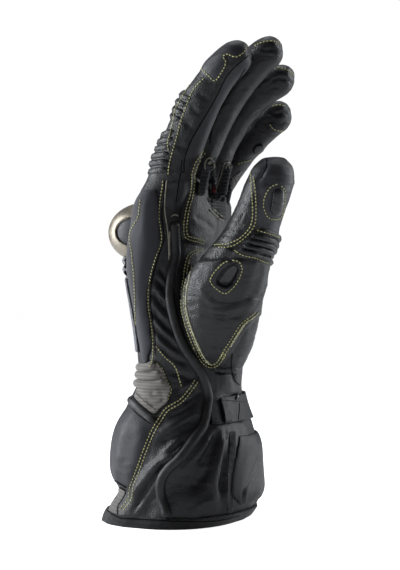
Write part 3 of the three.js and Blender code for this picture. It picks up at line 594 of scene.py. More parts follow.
def roll(name, lines, radius, surface, slot=None, lift=0.0, rib=0.0, pitch=2.0, taper=1.5, rough=0.0):
    """Round rolls along lines. Sizes are in mm. rib is the share by which the radius swells every pitch,
    and rough the share by which it varies, as on a frayed cord."""
    curve = bpy.data.curves.new(name, "CURVE")
    curve.dimensions, curve.use_fill_caps = "3D", True
    curve.bevel_depth, curve.bevel_resolution = radius * MM, 2
    for line in lines:
        for run in unbroken(line):
            total = lengths(run)
            spline = curve.splines.new("POLY")
            spline.points.add(len(run) - 1)
            for k, (point, (place, normal), gone) in enumerate(zip(spline.points, run, total)):
                point.co = (*(place + normal * lift * MM), 1.0)
                end = min(gone, total[-1] - gone) / (taper * MM)
                size = math.sqrt(max(0.05, 1 - max(0, 1 - end) ** 2))
                size *= 1 + rib * math.sin(2 * math.pi * gone / (pitch * MM))
                size *= 1 + rough * noise.noise(place / (1.3 * MM))
                point.radius = size
    made = bpy.data.objects.new(name, curve)
    bpy.context.scene.collection.objects.link(made)
    graph = bpy.context.evaluated_depsgraph_get()
    data = bpy.data.meshes.new_from_object(made.evaluated_get(graph))
    bpy.data.objects.remove(made)
    bpy.data.curves.remove(curve)
    shape = bmesh.new()
    shape.from_mesh(data)
    bpy.data.meshes.remove(data)
    return new_piece(name, shape, surface)


def drawn(name, marks_lists, tree, step, radius, surface, slot=None, **how):
    """Rolls along lines of picture points. how is what roll takes."""
    return roll(name, [seen(tree, marks, step=step) for marks in marks_lists], radius, surface, slot, **how)


EVERY_WAY = {"use_axis_x": True, "use_axis_y": True, "use_axis_z": True}
BEHIND = 14.0  # mm from the usual depth of a layer to a piece that isn't under it


def layer(
    name,
    outline,
    thick,
    surface,
    tree,
    slot=None,
    lift=0.0,
    crown=0.0,
    step=1.0,
    rounds=2,
    cast=from_camera,
):
    """A layer of leather or cloth laid on the glove inside an outline, in picture points, or in degrees and
    heights when cast is from_side. thick, lift and crown are in mm."""
    marks = np.array(outline)
    low, high = marks.min(0), marks.max(0)
    count = np.maximum(2, ((high - low) / step).astype(int))
    shape = bmesh.new()
    fit = Matrix.Translation((*((low + high) / 2), 0)) @ Matrix.Diagonal((*(high - low), 1, 1))
    bmesh.ops.create_grid(shape, x_segments=int(count[0]), y_segments=int(count[1]), size=0.5, matrix=fit)
    centres = np.array([tuple(f.calc_center_median()) for f in shape.faces])
    off = np.flatnonzero(inside(outline, centres[:, 0], centres[:, 1]) < 0)
    shape.faces.ensure_lookup_table()
    bmesh.ops.delete(shape, geom=[shape.faces[i] for i in off], context="FACES")
    loop = spread([*outline, outline[0]], 0.3)
    for vert in shape.verts:
        if vert.is_boundary:
            flat = Vector((vert.co.x, vert.co.y))
            vert.co = (*min(loop, key=lambda m: (m - flat).length_squared), 0)
    flat = np.array([tuple(v.co) for v in shape.verts])
    depth = np.maximum(0, inside(outline, flat[:, 0], flat[:, 1]))
    hits = [cast(tree, u, v) for u, v, _ in flat]
    usual = np.median([(place - EYE).length for place, _ in hits if place is not None])
    missed = []
    for vert, (place, normal), deep in zip(shape.verts, hits, depth):
        if place is None or cast is from_camera and abs((place - EYE).length - usual) > BEHIND * MM:
            missed.append(vert)
            continue
        swell = crown * (1 - math.exp(-deep * PIXEL / 1.5))
        vert.co = place + normal * (lift + swell) * MM
    bmesh.ops.delete(shape, geom=missed, context="VERTS")
    long = [e for e in shape.edges if e.calc_length() > JUMP * MM]
    bmesh.ops.delete(shape, geom=long, context="EDGES")
    bmesh.ops.delete(shape, geom=[v for v in shape.verts if not v.is_manifold], context="VERTS")
    for _ in range(rounds):
        bmesh.ops.smooth_vert(shape, verts=shape.verts, factor=0.5, **EVERY_WAY)
    bmesh.ops.recalc_face_normals(shape, faces=shape.faces)
    middles = [(f.normal, f.calc_center_median() - AXIS) for f in shape.faces]
    if sum(normal.dot(away - UP * away.z) for normal, away in middles) < 0:
        bmesh.ops.reverse_faces(shape, faces=shape.faces)
    bmesh.ops.solidify(shape, geom=shape.faces[:], thickness=thick * MM)
    return new_piece(name, shape, surface)


def layered():
    """A search tree over every visible piece of the glove so far."""
    shown = [o for o in bpy.data.objects if o.type == "MESH" and o is not floor and not o.hide_render]
    return tree_of(shown)


everywhere = tree_of(main_skins)
print("search tree ready")

# %% [markdown]
# ## Folds
# Leather that bends keeps its creases. The deep ones are pressed into the skin as lines, each a ridge or a
# groove of its own width. Two octaves of noise, drawn out along the hand, then give the small unevenness.
# The thumb's tip is rubbed smooth, so its facets are evened out before its folds are pressed. Its smooth mark
# also lightens its colour, partly as rubbed leather and partly as a painted highlight.

# %% Folds of the cuff and the thumb side
FOLDS = [
    # width mm, rise mm, places in the picture
    (3.2, 1.5, [(178, 451), (165, 460), (152, 470), (138, 488), (131, 499)]),
    (1.6, -1.5, [(170, 462), (156, 476), (144, 494), (133, 511)]),
    (3.5, -1.8, [(223, 432), (216, 443), (210, 458), (205, 471), (196, 483), (186, 492)]),
    (3.0, 1.2, [(212, 433), (201, 450), (188, 464), (176, 476)]),
    (3.2, 1.3, [(227, 433), (221, 452), (215, 472), (210, 492)]),
    (2.2, -1.3, [(231, 432), (227, 452), (224, 474), (221, 498)]),
    (2.6, -1.0, [(202, 418), (190, 428), (176, 436), (160, 444)]),
    (2.8, 0.9, [(200, 410), (186, 418), (172, 427), (158, 432)]),
    (1.5, -1.1, [(155, 278), (160, 283), (166, 291)]),
    (1.8, 0.9, [(154, 286), (160, 294), (167, 304)]),
    (1.3, -1.2, [(152, 293), (159, 301), (167, 312)]),
    (1.8, 0.8, [(152, 302), (160, 312), (170, 322)]),
    (1.4, -1.3, [(151, 310), (160, 321), (172, 333)]),
    (1.8, 0.9, [(153, 318), (163, 330), (175, 341)]),
    (1.3, -1.2, [(154, 327), (164, 338), (178, 350)]),
    (1.9, 0.8, [(155, 335), (166, 347), (182, 358)]),
    (1.3, -1.1, [(158, 344), (170, 356), (186, 364)]),
    (1.6, -0.9, [(172, 372), (183, 376), (194, 380)]),
    (1.8, 0.9, [(180, 390), (190, 384), (198, 385)]),
    (1.5, -1.0, [(160, 268), (164, 276), (168, 284)]),
    (2.0, -1.2, [(243, 322), (236, 345), (232, 366), (235, 384)]),
    (2.5, 0.8, [(250, 330), (242, 350), (238, 370)]),
    (1.6, -1.5, [(218, 432), (211, 446), (205, 458), (199, 468)]),
    (1.6, 1.1, [(223, 431), (216, 446), (210, 460), (203, 473)]),
    (1.5, -1.4, [(227, 431), (224, 452), (223, 474), (220, 492)]),
    (1.5, 1.2, [(228.6, 431), (227, 452), (227, 474), (226, 508)]),
    (1.4, -1.2, [(186, 436), (176, 447), (167, 459), (157, 470)]),
    (1.3, 0.8, [(190, 430), (178, 440), (168, 449), (160, 455)]),
    (1.2, -0.8, [(196, 400), (188, 408), (178, 414), (168, 418)]),
    (1.2, -0.8, [(200, 392), (192, 398), (182, 404)]),
    (1.3, -0.8, [(196, 418), (184, 424), (172, 430), (163, 436)]),
    (1.2, -0.7, [(140, 498), (150, 500), (158, 497)]),
    (1.4, -0.6, [(193, 216), (200, 220), (207, 224), (213, 230)]),
    (1.6, 0.4, [(192, 222), (199, 226), (206, 231)]),
    (1.2, 0.7, [(196, 508), (206, 502), (218, 500)]),
]
FOLD_DEPTH = 1.3
for width, rise, marks in FOLDS:
    press(glove, seen(everywhere, marks), width, FOLD_DEPTH * rise)
print("folds pressed", len(FOLDS))

# %% Folds of the thumb, the palm patch and the fingers
THUMB_FOLDS = [
    (1.6, -0.7, [(266, 165), (262, 173), (256, 183)]),
    (1.8, 0.5, [(272, 160), (270, 168), (264, 178)]),
    (2.2, -0.9, [(262, 296), (248, 297), (232, 302), (214, 300)]),
    (2.4, 0.8, [(258, 304), (244, 305), (226, 311), (206, 308)]),
    (1.6, -0.6, [(246, 312), (230, 318), (212, 316)]),
    (1.6, -0.5, [(206, 262), (222, 258), (236, 262)]),
    (2.0, 0.6, [(200, 285), (206, 296), (216, 305)]),
    (1.5, -0.5, [(234, 330), (222, 342), (214, 352)]),
    (1.4, -0.5, [(238, 228), (246, 222), (249, 214)]),
    (1.5, -0.5, [(229, 232), (238, 224), (244, 212)]),
]
THUMB_TIP = [
    (258, 178), (256, 200), (254, 222), (272, 236), (288, 226), (292, 200), (292, 170), (278, 152),
    (264, 158),
]
# marking the whole tip smooth lightens its colour, partly as rubbed leather and partly as a painted highlight
# where light falls on it
emboss(thumb, THUMB_TIP, 0.0, edge=6, smooth=1.0)
calm(thumb, 120)
for width, rise, marks in THUMB_FOLDS:
    press(thumb, seen(everywhere, marks), width, rise)
FINGER_LINES = [
    # the seams of the index finger's side strip, and creases across it
    (1.5, -0.9, [(250, 58), (227.5, 78), (216, 100), (201, 124.5), (191, 143), (187, 156)]),
    (2.2, 0.7, [(236, 66), (219, 84), (207, 106), (194, 128), (184, 148)]),
    (1.6, -0.6, [(197, 92), (203, 97), (210, 100)]),
    (1.6, -0.6, [(190, 106), (196, 112), (203, 116)]),
    (1.6, -0.6, [(184, 122), (190, 127), (197, 131)]),
    (1.5, -0.5, [(178, 145), (184, 148), (189, 152)]),
]
for width, rise, marks in FINGER_LINES:
    press(glove, seen(everywhere, marks), width, rise)
TIP_FOLDS = [
    (middle, 1.1, -0.8, [(246, 60), (252, 57), (262, 55), (276, 57)]),
    (middle, 1.2, -0.6, [(256, 48), (264, 51), (272, 50), (280, 53)]),
    (middle, 1.2, 0.5, [(258, 51), (266, 54), (276, 53)]),
    (middle, 1.3, -0.5, [(238, 92), (246, 88), (256, 90)]),
    (ring, 1.1, -0.8, [(270, 82), (278, 78), (288, 80), (294, 86)]),
    (ring, 1.3, -0.5, [(252, 116), (260, 112), (268, 114)]),
    (ring, 1.2, -0.6, [(266, 92), (276, 88), (286, 92)]),
    (little, 1.2, -1.1, [(268, 112), (276, 114), (284, 112), (290, 115)]),
    (little, 1.3, 0.9, [(268, 116), (276, 119), (284, 117)]),
    (little, 1.2, -1.1, [(268, 122), (274, 121), (280, 124), (287, 122)]),
    (little, 1.2, -0.8, [(262, 130), (270, 134), (278, 138)]),
    (little, 1.2, 0.7, [(270, 127), (278, 130), (286, 128)]),
]
for piece, width, rise, marks in TIP_FOLDS:
    press(piece, seen(everywhere, marks), width, rise)
print("thumb and finger folds pressed", len(THUMB_FOLDS) + len(FINGER_LINES) + len(TIP_FOLDS))

# %% Small unevenness
def ruffle(piece, height, size, stretch=(1.0, 1.0, 0.45), seed=0.0):
    """Noise of two sizes along the normals. height and size are in mm."""
    points, normals = points_of(piece), normals_of(piece)
    scale = np.array(stretch) / (size * MM)
    shift = Vector((seed, seed * 0.7, seed * 1.3))
    rise = np.empty(len(points))
    for i, p in enumerate(points * scale):
        here = Vector(p) + shift
        rise[i] = noise.noise(here) + 0.45 * noise.noise(here * 2.3)
    put_points(piece, points + normals * (rise * height * MM)[:, None])


ACROSS = (0.5, 0.5, 1.9)  # noise drawn out across the hand
ruffle(glove, 0.4, 9)
ruffle(glove, 0.16, 4, ACROSS, seed=11.0)
ruffle(thumb, 0.3, 9, seed=3.0)
ruffle(thumb, 0.2, 4, ACROSS, seed=13.0)
for k, piece in enumerate([middle, ring, little]):
    ruffle(piece, 0.25, 8, seed=5.0 + k)
    ruffle(piece, 0.16, 4, ACROSS, seed=15.0 + k)
everywhere = tree_of(main_skins)
print("ruffled", len(main_skins), "skins")

# %% [markdown]
# Flat second layers that lie close on the skin are raised out of it: inside an outline the leather moves
# out by about a millimetre, with a short step at the edge. The same outline can mark a smooth finish, for
# the finer leather of the finger strips and the pads.

# %% Raised layers
RAISED = [
    # skin, rise mm, smooth, outline in the picture
    (glove, 1.1, 0.0, [
        (205, 150), (206.5, 176), (208, 198), (213.8, 210), (217, 225), (215.3, 237), (208, 246),
        (200, 244.5), (188, 241.5), (183, 238), (182, 226), (184, 210), (188.5, 190), (190, 173),
        (195, 161),
    ]),
    (glove, 0.35, 0.75, [
        (249, 55), (228.5, 74), (215.3, 99), (199, 126.8), (190, 143), (184.5, 159), (207, 152),
        (209.4, 145.8), (213.8, 123.8), (228.5, 94.5), (246, 68),
    ]),
    (glove, 0.7, 0.6, [
        (197, 66), (207, 75), (214.2, 81.5), (221, 75), (226.8, 63), (224.3, 57.5), (228, 55), (232, 57),
        (237.8, 57.5), (245, 52), (248, 44), (238, 36), (215, 42),
    ]),
    (glove, 0.9, 0.55, [
        (126, 398), (140, 414), (154, 420), (147.8, 437), (142.2, 451), (136.4, 467), (133.6, 474),
        (129.5, 486.5), (113, 480), (106, 460), (106, 430), (114, 410),
    ]),
    (glove, 0.5, 0.0, [
        (232.5, 366), (234.5, 378), (240, 386), (250, 386), (250, 340), (246, 318), (238, 338), (233, 352),
    ]),
    (thumb, 1.0, 0.0, [
        (203, 248), (195, 249), (186, 254.5), (182.5, 267), (181, 280), (179, 292), (179.6, 309),
        (184, 327), (190, 345), (198, 361), (205, 368), (212.5, 369.5), (220, 366), (228, 356), (237, 343),
        (244, 331), (252, 322), (262, 313), (268, 300), (272, 280), (276, 262), (262, 258), (248, 255),
        (235, 251), (222, 246),
    ]),
    (thumb, -2.2, 0.0, [
        (233.6, 263.5), (237.5, 264.5), (239, 269), (236, 276.5), (230, 285), (225, 287), (218.5, 284),
        (217, 280), (222, 272.5), (228, 267),
    ]),
]
for piece, rise, smooth, outline in RAISED:
    emboss(piece, outline, rise, smooth=smooth)
calm(glove, 24)
everywhere = tree_of(main_skins)
print("raised", len(RAISED), "layers")

# %% [markdown]
# The ball of the thumb ends in a step above the wrist. On the real glove one leather runs over it, so the
# skin below the step is drawn up to the step's height and runs out smoothly towards the strap. A soft roll
# closes the crease that is left under the ball.

# %% The run-out under the thumb's ball
def reached(tree, u, v):
    place = from_camera(tree, u, v)[0]
    return 9.0 if place is None else (place - EYE).length


thumb_tree = tree_of([thumb])
columns = np.arange(205.0, 249.0, 1.0)
found = []
for u in columns:
    v = 352.0
    while v < 390 and reached(thumb_tree, u, v) <= reached(everywhere, u, v) + 0.05 * MM:
        v += 0.5
    step = reached(everywhere, u, v + 1) - reached(thumb_tree, u, v - 1)
    if v > 353 and 0 < step < 24 * MM:
        found.append((u, v, min(step, 13 * MM)))
found = np.array(found)
evened = [np.convolve(np.pad(row, 3, "edge"), np.ones(7) / 7, "valid") for row in found.T[1:]]
edges, steps = [np.interp(columns, found[:, 0], row) for row in evened]
points, normals = points_of(glove), normals_of(glove)
across, down = in_picture(points)
below = down - np.interp(across, columns, edges)
chosen = (across > 205) & (across < 248) & (below > -8) & (below < 30) & (normals @ np.array(AHEAD) < 0.1)
share = 1 - np.clip(below / 30, 0, 1)
share = share * share * (3 - 2 * share)
fade = np.clip((across - 206) / 11, 0, 1) * np.clip((248 - across) / 9, 0, 1)
fade = fade * fade * (3 - 2 * fade)
amount = np.interp(across, columns, steps) * share * fade * chosen
put_points(glove, points - np.array(AHEAD) * amount[:, None])
everywhere = tree_of(main_skins)
heel_line = []
for u, v in zip(columns[7:36], edges[7:36]):
    place, normal = from_camera(thumb_tree, u, v - 2)
    if place is not None:
        heel_line.append((place - UP * 1.6 * MM, normal))
roll("heel_roll", [heel_line], 3.0, goatskin, "black_leather", lift=-2.3, taper=6)
print("run-out up to", round(amount.max() / MM, 1), "mm, roll of", len(heel_line), "points")

# %% [markdown]
# ## Panels
# Panels are second layers of leather sewn on the skin. Each comes from its own solid, remeshed finely
# enough to keep its thickness, and its edge is rounded by a little smoothing, as a skived edge is.

# %% Panels, rims and ribs
PANELS = [
    # name, solid, surface, slot, voxel mm, rounds
    ("hem_band", "hem_binding", hem_tape, "hem_tape", 0.9, 8),
    ("back_reflector", "back_strip", satin, "satin_strip", 0.7, 6),
    ("back_bed", "back_ribs", rubber, "black_rubber", 0.7, 16),
    ("cuff_rim", "pad_rim", rolled_hide, "black_leather", 0.6, 6),
    ("thumb_rolls_bed", "thumb_ribs", goatskin, "ribbed_leather", 0.7, 16),
]
panels = {}
for name, source, surface, slot, voxel, rounds in PANELS:
    panels[name] = skin(name, [source], surface, voxel, rounds)
    print(name, len(panels[name].data.polygons), "faces")
panels["little_button"] = skin("little_button", ["little_slider"], slider, 0.45, 10)
for name in ("index", "middle", "ring"):
    skin(name + "_gusset_top", [name + "_fork_roll"], gusset_knit, 0.6, 14)
skin("keeper_ring", ["strap_ring"], dark_steel, 0.3, 2)
print("panels, buttons and gusset tops made")

# %% [markdown]
# ## Ribs
# The backs of the fingers, the back of the hand and the thumb bend at ribbed zones. Each rib is a roll of
# soft leather over a cord. The rolls of a zone lie side by side across its solid, which gives their place
# and their spacing, and a ray from outside sets each one on the skin.

# %% Ribs across the fingers and the back
def ribbing(name, source, count, tree, radius, surface, slot, inset=0.9):
    """Rolls side by side across the panel of a finger or the back, from its solid. Sizes are in mm."""
    points = points_of(nodes[source])
    centre = points.mean(0)
    flat = (points - centre)[:, [0, 2]]
    values, axes = np.linalg.eigh(flat.T @ flat)
    along = axes[:, 1] * np.sign(axes[1, 1])
    run = flat @ along
    outward = Vector((-along[1], 0, along[0]))
    outward *= -1 if outward.x > 0 else 1
    half = (points[:, 1].max() - points[:, 1].min()) / 2 - inset * MM
    lines = []
    for k in range(count):
        where = run.min() + (run.max() - run.min()) * (k + 0.5) / count
        middle_point = Vector((centre[0] + along[0] * where, centre[1], centre[2] + along[1] * where))
        line = []
        for t in np.linspace(-1, 1, 19):
            start = middle_point + Vector((0, t * half, 0)) + outward * 12 * MM
            place, normal, _, _ = tree.ray_cast(start, -outward, 0.03)
            if place is not None:
                line.append((place, normal))
        if len(line) > 3:
            lines.append(line)
    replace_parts(roll(name, lines, radius, surface, slot, lift=-1.1, taper=3), source)


ZONES = [
    # zone, solid, ribs, radius mm
    *((name + "_knuckle_ribs", name + "_low_ribs", 5, 2.4) for name in ("middle", "ring", "little")),
    *((name + "_joint_ribs", name + "_high_ribs", 3, 2.5) for name in ("middle", "ring", "little")),
]
for name, source, count, radius in ZONES:
    ribbing(name, source, count, everywhere, radius, goatskin, "ribbed_leather")
ribbing("back_rolls", "back_ribs", 3, tree_of([glove, panels["back_bed"]]), 3.0, ash_rubber, "black_rubber")
print("rib zones", len(ZONES) + 1)

# %% Rolls across the thumb and the index finger
def girdle(tree, piece, first, last, more, reach=0.06, near=3.0):
    """A line round a finger through two picture places, carried on past the second by more degrees."""
    met = seen(tree, [first, last], step=1.0)
    start, end = met[0][0], met[-1][0]
    points = points_of(piece)
    level = np.abs(points[:, 2] - (start.z + end.z) / 2) < near * MM
    centre = Vector(points[level].mean(0))
    a, b = start - centre, end - centre
    turn_axis = a.cross(b).normalized()
    whole = a.angle(b) + math.radians(more)
    line = []
    for k in range(int(whole * 14) + 2):
        way = Matrix.Rotation(whole * k / (int(whole * 14) + 1), 3, turn_axis) @ a.normalized()
        place, normal, _, _ = tree.ray_cast(centre + way * reach, -way, reach)
        if place is not None:
            line.append((place, normal))
    return line


THUMB_ROLLS = [
    ((258.5, 230.5), (281, 238.5)), ((253.5, 236.2), (278.5, 244.8)), ((248, 241.2), (276, 251)),
    ((243, 246), (273.5, 257)), ((238.5, 250.6), (271, 262.5)),
]
thumb_tree = tree_of([thumb])
thumb_lines = [girdle(thumb_tree, thumb, first, last, 75) for first, last in THUMB_ROLLS]
roll("thumb_rolls", thumb_lines, 1.9, goatskin, "ribbed_leather", lift=0.0, taper=4)
INDEX_LOW = [
    ((169.5, 170), (151.5, 171)), ((170, 162), (154, 162.7)), ((170.5, 154), (156.5, 155.2)),
    ((171.5, 146.4), (159.8, 147.7)), ((174, 139), (162.5, 140.3)), ((175.5, 131.6), (165, 132.8)),
]
INDEX_HIGH = [
    ((181.5, 119), (169.6, 116)), ((184.5, 112), (173, 109)), ((188, 105), (176.6, 101.8)),
    ((191.5, 98.5), (180.6, 95)),
]
finger = nodes["index_finger"]
for name, source, ribs, radius in [
    ("index_knuckle_ribs", "index_low_ribs", INDEX_LOW, 2.5),
    ("index_joint_ribs", "index_high_ribs", INDEX_HIGH, 2.4),
]:
    lines = [girdle(everywhere, finger, first, last, 95, near=9.0) for first, last in ribs]
    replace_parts(roll(name, lines, radius, goatskin, "ribbed_leather", lift=-1.2, taper=6), source)
print("rolls", len(thumb_lines) + len(INDEX_LOW) + len(INDEX_HIGH))

# %% [markdown]
# ## The knuckle guard
# The guard is a thin curved shell of titanium over a rubber bed. Both are domes cut from stretched balls
# that fill the boxes of their solids. Raising the ball's length to a power below one makes its ends blunt.
# The bed is a little smaller, so it shows as a dark roll inside the shell's near rim.

# %% Guard
BLUNT = 0.45
guard_low, guard_high = [Vector(c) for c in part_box("knuckle_guard")]
guard_middle = Vector((guard_high.x, *((guard_low + guard_high) / 2).yz))
guard_size = Vector((guard_high.x - guard_low.x, *((guard_high - guard_low) / 2).yz))


def dome(share, ends):
    """The outer half of the blunt ball, share of the guard's size, cut off ends mm before its near end."""
    ball = bmesh.new()
    bmesh.ops.create_uvsphere(ball, u_segments=96, v_segments=72, radius=1)
    for vert in ball.verts:
        x, y, z = vert.co
        blunt = Vector((x, math.copysign(abs(y) ** BLUNT, y), z))
        vert.co = guard_middle + blunt * guard_size * share
    cuts = [(guard_middle + Vector((1 * MM, 0, 0)), Vector((1, 0, 0)))]
    if ends:
        cuts.append((guard_middle - Vector((0, guard_size.y - ends * MM, 0)), Vector((0, -1, 0))))
    for place, normal in cuts:
        every = ball.verts[:] + ball.edges[:] + ball.faces[:]
        bmesh.ops.bisect_plane(ball, geom=every, plane_co=place, plane_no=normal, clear_outer=True)
    return ball


bed_shape = dome(0.94, 0)
bmesh.ops.translate(bed_shape, verts=bed_shape.verts, vec=(0.6 * MM, -2.2 * MM, 0))
bed = new_piece("guard_bed", bed_shape, pebbled_rubber)
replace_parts(bed, "knuckle_base")
GUARD_END = 2.2
shell = dome(1.0, GUARD_END)
bmesh.ops.recalc_face_normals(shell, faces=shell.faces)
bmesh.ops.solidify(shell, geom=shell.faces[:], thickness=1.2 * MM)
guard = new_piece("guard", shell, guard_metal)
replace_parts(guard, "knuckle_guard")
end_share = 1 - GUARD_END * MM / guard_size.y
narrow = math.sqrt(1 - end_share ** (2 / BLUNT))
rim_line = []
for degrees in range(-80, 81, 5):
    turn = math.radians(degrees)
    out = Vector((-math.cos(turn) * guard_size.x, 0, math.sin(turn) * guard_size.z))
    place = guard_middle + out * narrow - Vector((0, end_share * guard_size.y, 0))
    rim_line.append((place, out.normalized()))
roll("guard_rim", [rim_line], 0.9, guard_metal, "guard_metal", lift=-0.4, taper=1)
print("guard", len(guard.data.polygons), "faces")

# %% [markdown]
# ## Padded pieces
# The side bolster and the pad on the cuff's palm side are foam under leather, sewn down all round. A cloth
# simulation with a little pressure from inside gives the pull between the seams. The edge is held, and no
# point may move further than a cap, so each pad stays in the space of its solid.

# %% Pads
def pad(name, source, surface, voxel, cap):
    piece = skin(name, [source], surface, voxel, 34)
    before, outward = points_of(piece), normals_of(piece)
    under = tree_of(main_skins)
    held = piece.vertex_groups.new(name="held")
    for i, p in enumerate(before):
        near = under.find_nearest(Vector(p))[3]
        if near < 1.9 * MM:
            held.add([i], 1.0, "REPLACE")
    cloth = piece.modifiers.new("cloth", "CLOTH")
    cloth.settings.use_pressure = True
    cloth.settings.uniform_pressure_force = 4
    cloth.settings.vertex_group_mass = "held"
    cloth.settings.effector_weights.gravity = 0
    scene = bpy.context.scene
    for step in range(1, 21):
        scene.frame_set(step)
    settle(piece)
    scene.frame_set(1)
    moved = points_of(piece) - before
    far = np.linalg.norm(moved, axis=1)
    keep = np.minimum(1, cap * MM / np.maximum(far, 1e-9))
    put_points(piece, before + moved * keep[:, None])
    print(name, "swelled by up to", round(min(far.max() / MM, cap), 2), "mm")
    return piece


bolster = pad("bolster", "side_bolster", microfibre, 1.2, 1.2)
guard_pad = pad("palm_cuff_pad", "cuff_guard_pad", padded_hide, 1.3, 1.2)
RIDGE = [(259, 453), (256.5, 462), (251.5, 476), (243.5, 492), (243, 501), (245.5, 508), (253, 511)]
for width, rise, marks in [(1.0, -0.9, RIDGE), (1.0, 0.7, [(u + 2.6, v + 1) for u, v in RIDGE])]:
    press(guard_pad, seen(tree_of([guard_pad]), marks), width, rise)
print("pads", bolster.name, guard_pad.name)

# %% [markdown]
# ## Rolled edges, the wrist and the strap
# The flap of the closure ends in a thick rolled edge, a cord under leather. The grey knit of the wrist, the
# strip of mesh and the small sliders are layers cut to the outlines that the camera sees. The strap and its
# keeper run round the wrist, so their outlines are written by angle and height.

# %% Flap edge and rim
FLAP = [
    (174.5, 221.5), (175.5, 246), (175.3, 257), (171.8, 273), (169.8, 294.6), (172.8, 314), (177.6, 331),
    (184.6, 348), (193.5, 361), (203, 378), (208, 396), (207.8, 406), (203.5, 425), (193.5, 440),
    (179.7, 458.2), (167.8, 469.2), (160.8, 481.5), (160.8, 495), (165, 508), (167.5, 520),
]
skins_tree = tree_of(main_skins)
flap = drawn("flap_edge", [FLAP], skins_tree, 2.0, 3.3, rolled_hide, "smooth_leather", lift=-0.2, taper=2)
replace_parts(flap, "flap_binding")
RIM = [
    (129, 395), (133, 390.5), (138, 400), (145, 407.5), (153, 414), (156, 418), (151, 424), (144.5, 419.5),
    (137.5, 414), (130, 405.5), (126.5, 400),
]
rim_tree = tree_of([glove, panels["cuff_rim"]])
layer("front_rim", RIM, 1.2, rolled_hide, rim_tree, "black_leather", lift=1.0, crown=1.6, rounds=8)
print("flap edge", len(flap.data.polygons), "faces")

# %% Wrist knit
KNIT = [
    (139, 364), (150, 366), (157, 363), (163, 369), (167, 380), (171, 389), (168.5, 397), (168, 402),
    (160, 409), (155, 414), (147, 409), (139, 402), (132.5, 393), (137, 385), (137.5, 375),
]
knit = layer("wrist_knit", KNIT, 0.8, stretch_knit, skins_tree, "stretch_cloth", lift=1.0, crown=0.5)
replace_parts(knit, "wrist_stretch")
for width, rise, marks in [
    (1.8, -0.7, [(150, 392), (157, 396), (166, 394)]),
    (1.8, -0.6, [(137, 392), (146, 399), (154, 408)]),
    (1.8, 0.8, [(140, 390), (150, 394.5), (162, 391)]),
    (1.6, 0.7, [(142, 398), (150, 403), (163, 401)]),
    (1.3, -0.9, [(149, 406), (157, 404), (167, 397)]),
]:
    press(knit, seen(tree_of([knit]), marks), width, rise)
WRIST_ROLLS = [
    [(137, 366.2), (146, 367.4), (156, 364.6)],
    [(137.5, 374), (146, 375.8), (155, 375.6), (163.5, 372.8)],
    [(137.5, 383), (146, 385), (156, 385.4), (167.5, 381.5)],
]
drawn("wrist_rolls", WRIST_ROLLS, skins_tree, 1.5, 2.8, stretch_knit, "stretch_cloth", lift=1.3, taper=2)
print("wrist knit", len(knit.data.polygons), "faces")

# %% Strap and keeper
body_tree = tree_of([glove])
STRAP = [
    (-41, 62.8), (-20, 62.6), (20, 62.6), (60, 62.6), (97, 63), (97, 81.5), (60, 81.6), (20, 81.6),
    (-20, 81.4), (-40, 81.2),
]
side = {"thick": 1.6, "surface": strap_hide, "cast": from_side}
strap_top = layer("strap", STRAP, tree=body_tree, slot="black_leather", lift=2.2, step=1.1, rounds=12, **side)
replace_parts(strap_top, "wrist_strap")
KEEPER = [(-28, 61.9), (-19, 61.7), (-18.5, 72), (-18, 82.6), (-27, 82.9), (-27.5, 72)]
strap_tree = tree_of([strap_top])
keeper = layer("keeper", KEEPER, tree=strap_tree, slot="smooth_leather", lift=1.9, step=0.7, rounds=3, **side)
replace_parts(keeper, "strap_keeper")
MESH = [
    (228.5, 431), (236, 431), (236.2, 450), (235.4, 470), (234, 490), (233, 512), (227, 513), (226.4, 490),
    (227.2, 470), (228, 450),
]
mesh_band = layer("cuff_mesh", MESH, 0.5, mesh_cloth, body_tree, "mesh_cloth", lift=0.3, rounds=6)
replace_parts(mesh_band, "mesh_strip")
print("strap and keeper", len(strap_top.data.polygons) + len(keeper.data.polygons), "faces")

# %% Window, sliders and the lower cuff's cloth
WINDOW = [
    (233.6, 265), (236.5, 266), (237.4, 269.5), (234.6, 276), (229, 283.4), (225, 285), (219.8, 282.6),
    (219, 280), (223.4, 273.5), (228.6, 268),
]
window = layer("palm_button", WINDOW, 0.8, slider, thumb_tree, "black_rubber", lift=0.5, step=0.7)
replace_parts(window, "palm_slider")
THUMB_BAR = [
    (276, 189), (280, 188.4), (282.8, 191), (283, 200), (281.8, 210), (278.5, 214.6), (273, 214),
    (270.2, 209.5), (271.6, 200), (273.4, 192.4),
]
bar = layer("thumb_button", THUMB_BAR, 1.6, slider, thumb_tree, "black_rubber", lift=1.4, crown=0.9, step=0.7)
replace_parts(bar, "thumb_slider")
LOWER_CLOTH = [
    (111.5, 482.5), (120, 487), (126, 491.5), (122.5, 500), (118.5, 506), (117, 515), (104.5, 509),
    (105, 500),
]
layer("lower_back_cloth", LOWER_CLOTH, 0.7, ash_knit, skins_tree, "black_leather", lift=0.6)
print("window, sliders and cloth laid")

# %% [markdown]
# ## Between the fingers
# The forks of the fingers are lined with ribbed elastic, which shows as two loops with grey piped tops and a
# dark ribbed panel below them. A small red tab is sewn in where the loops meet.

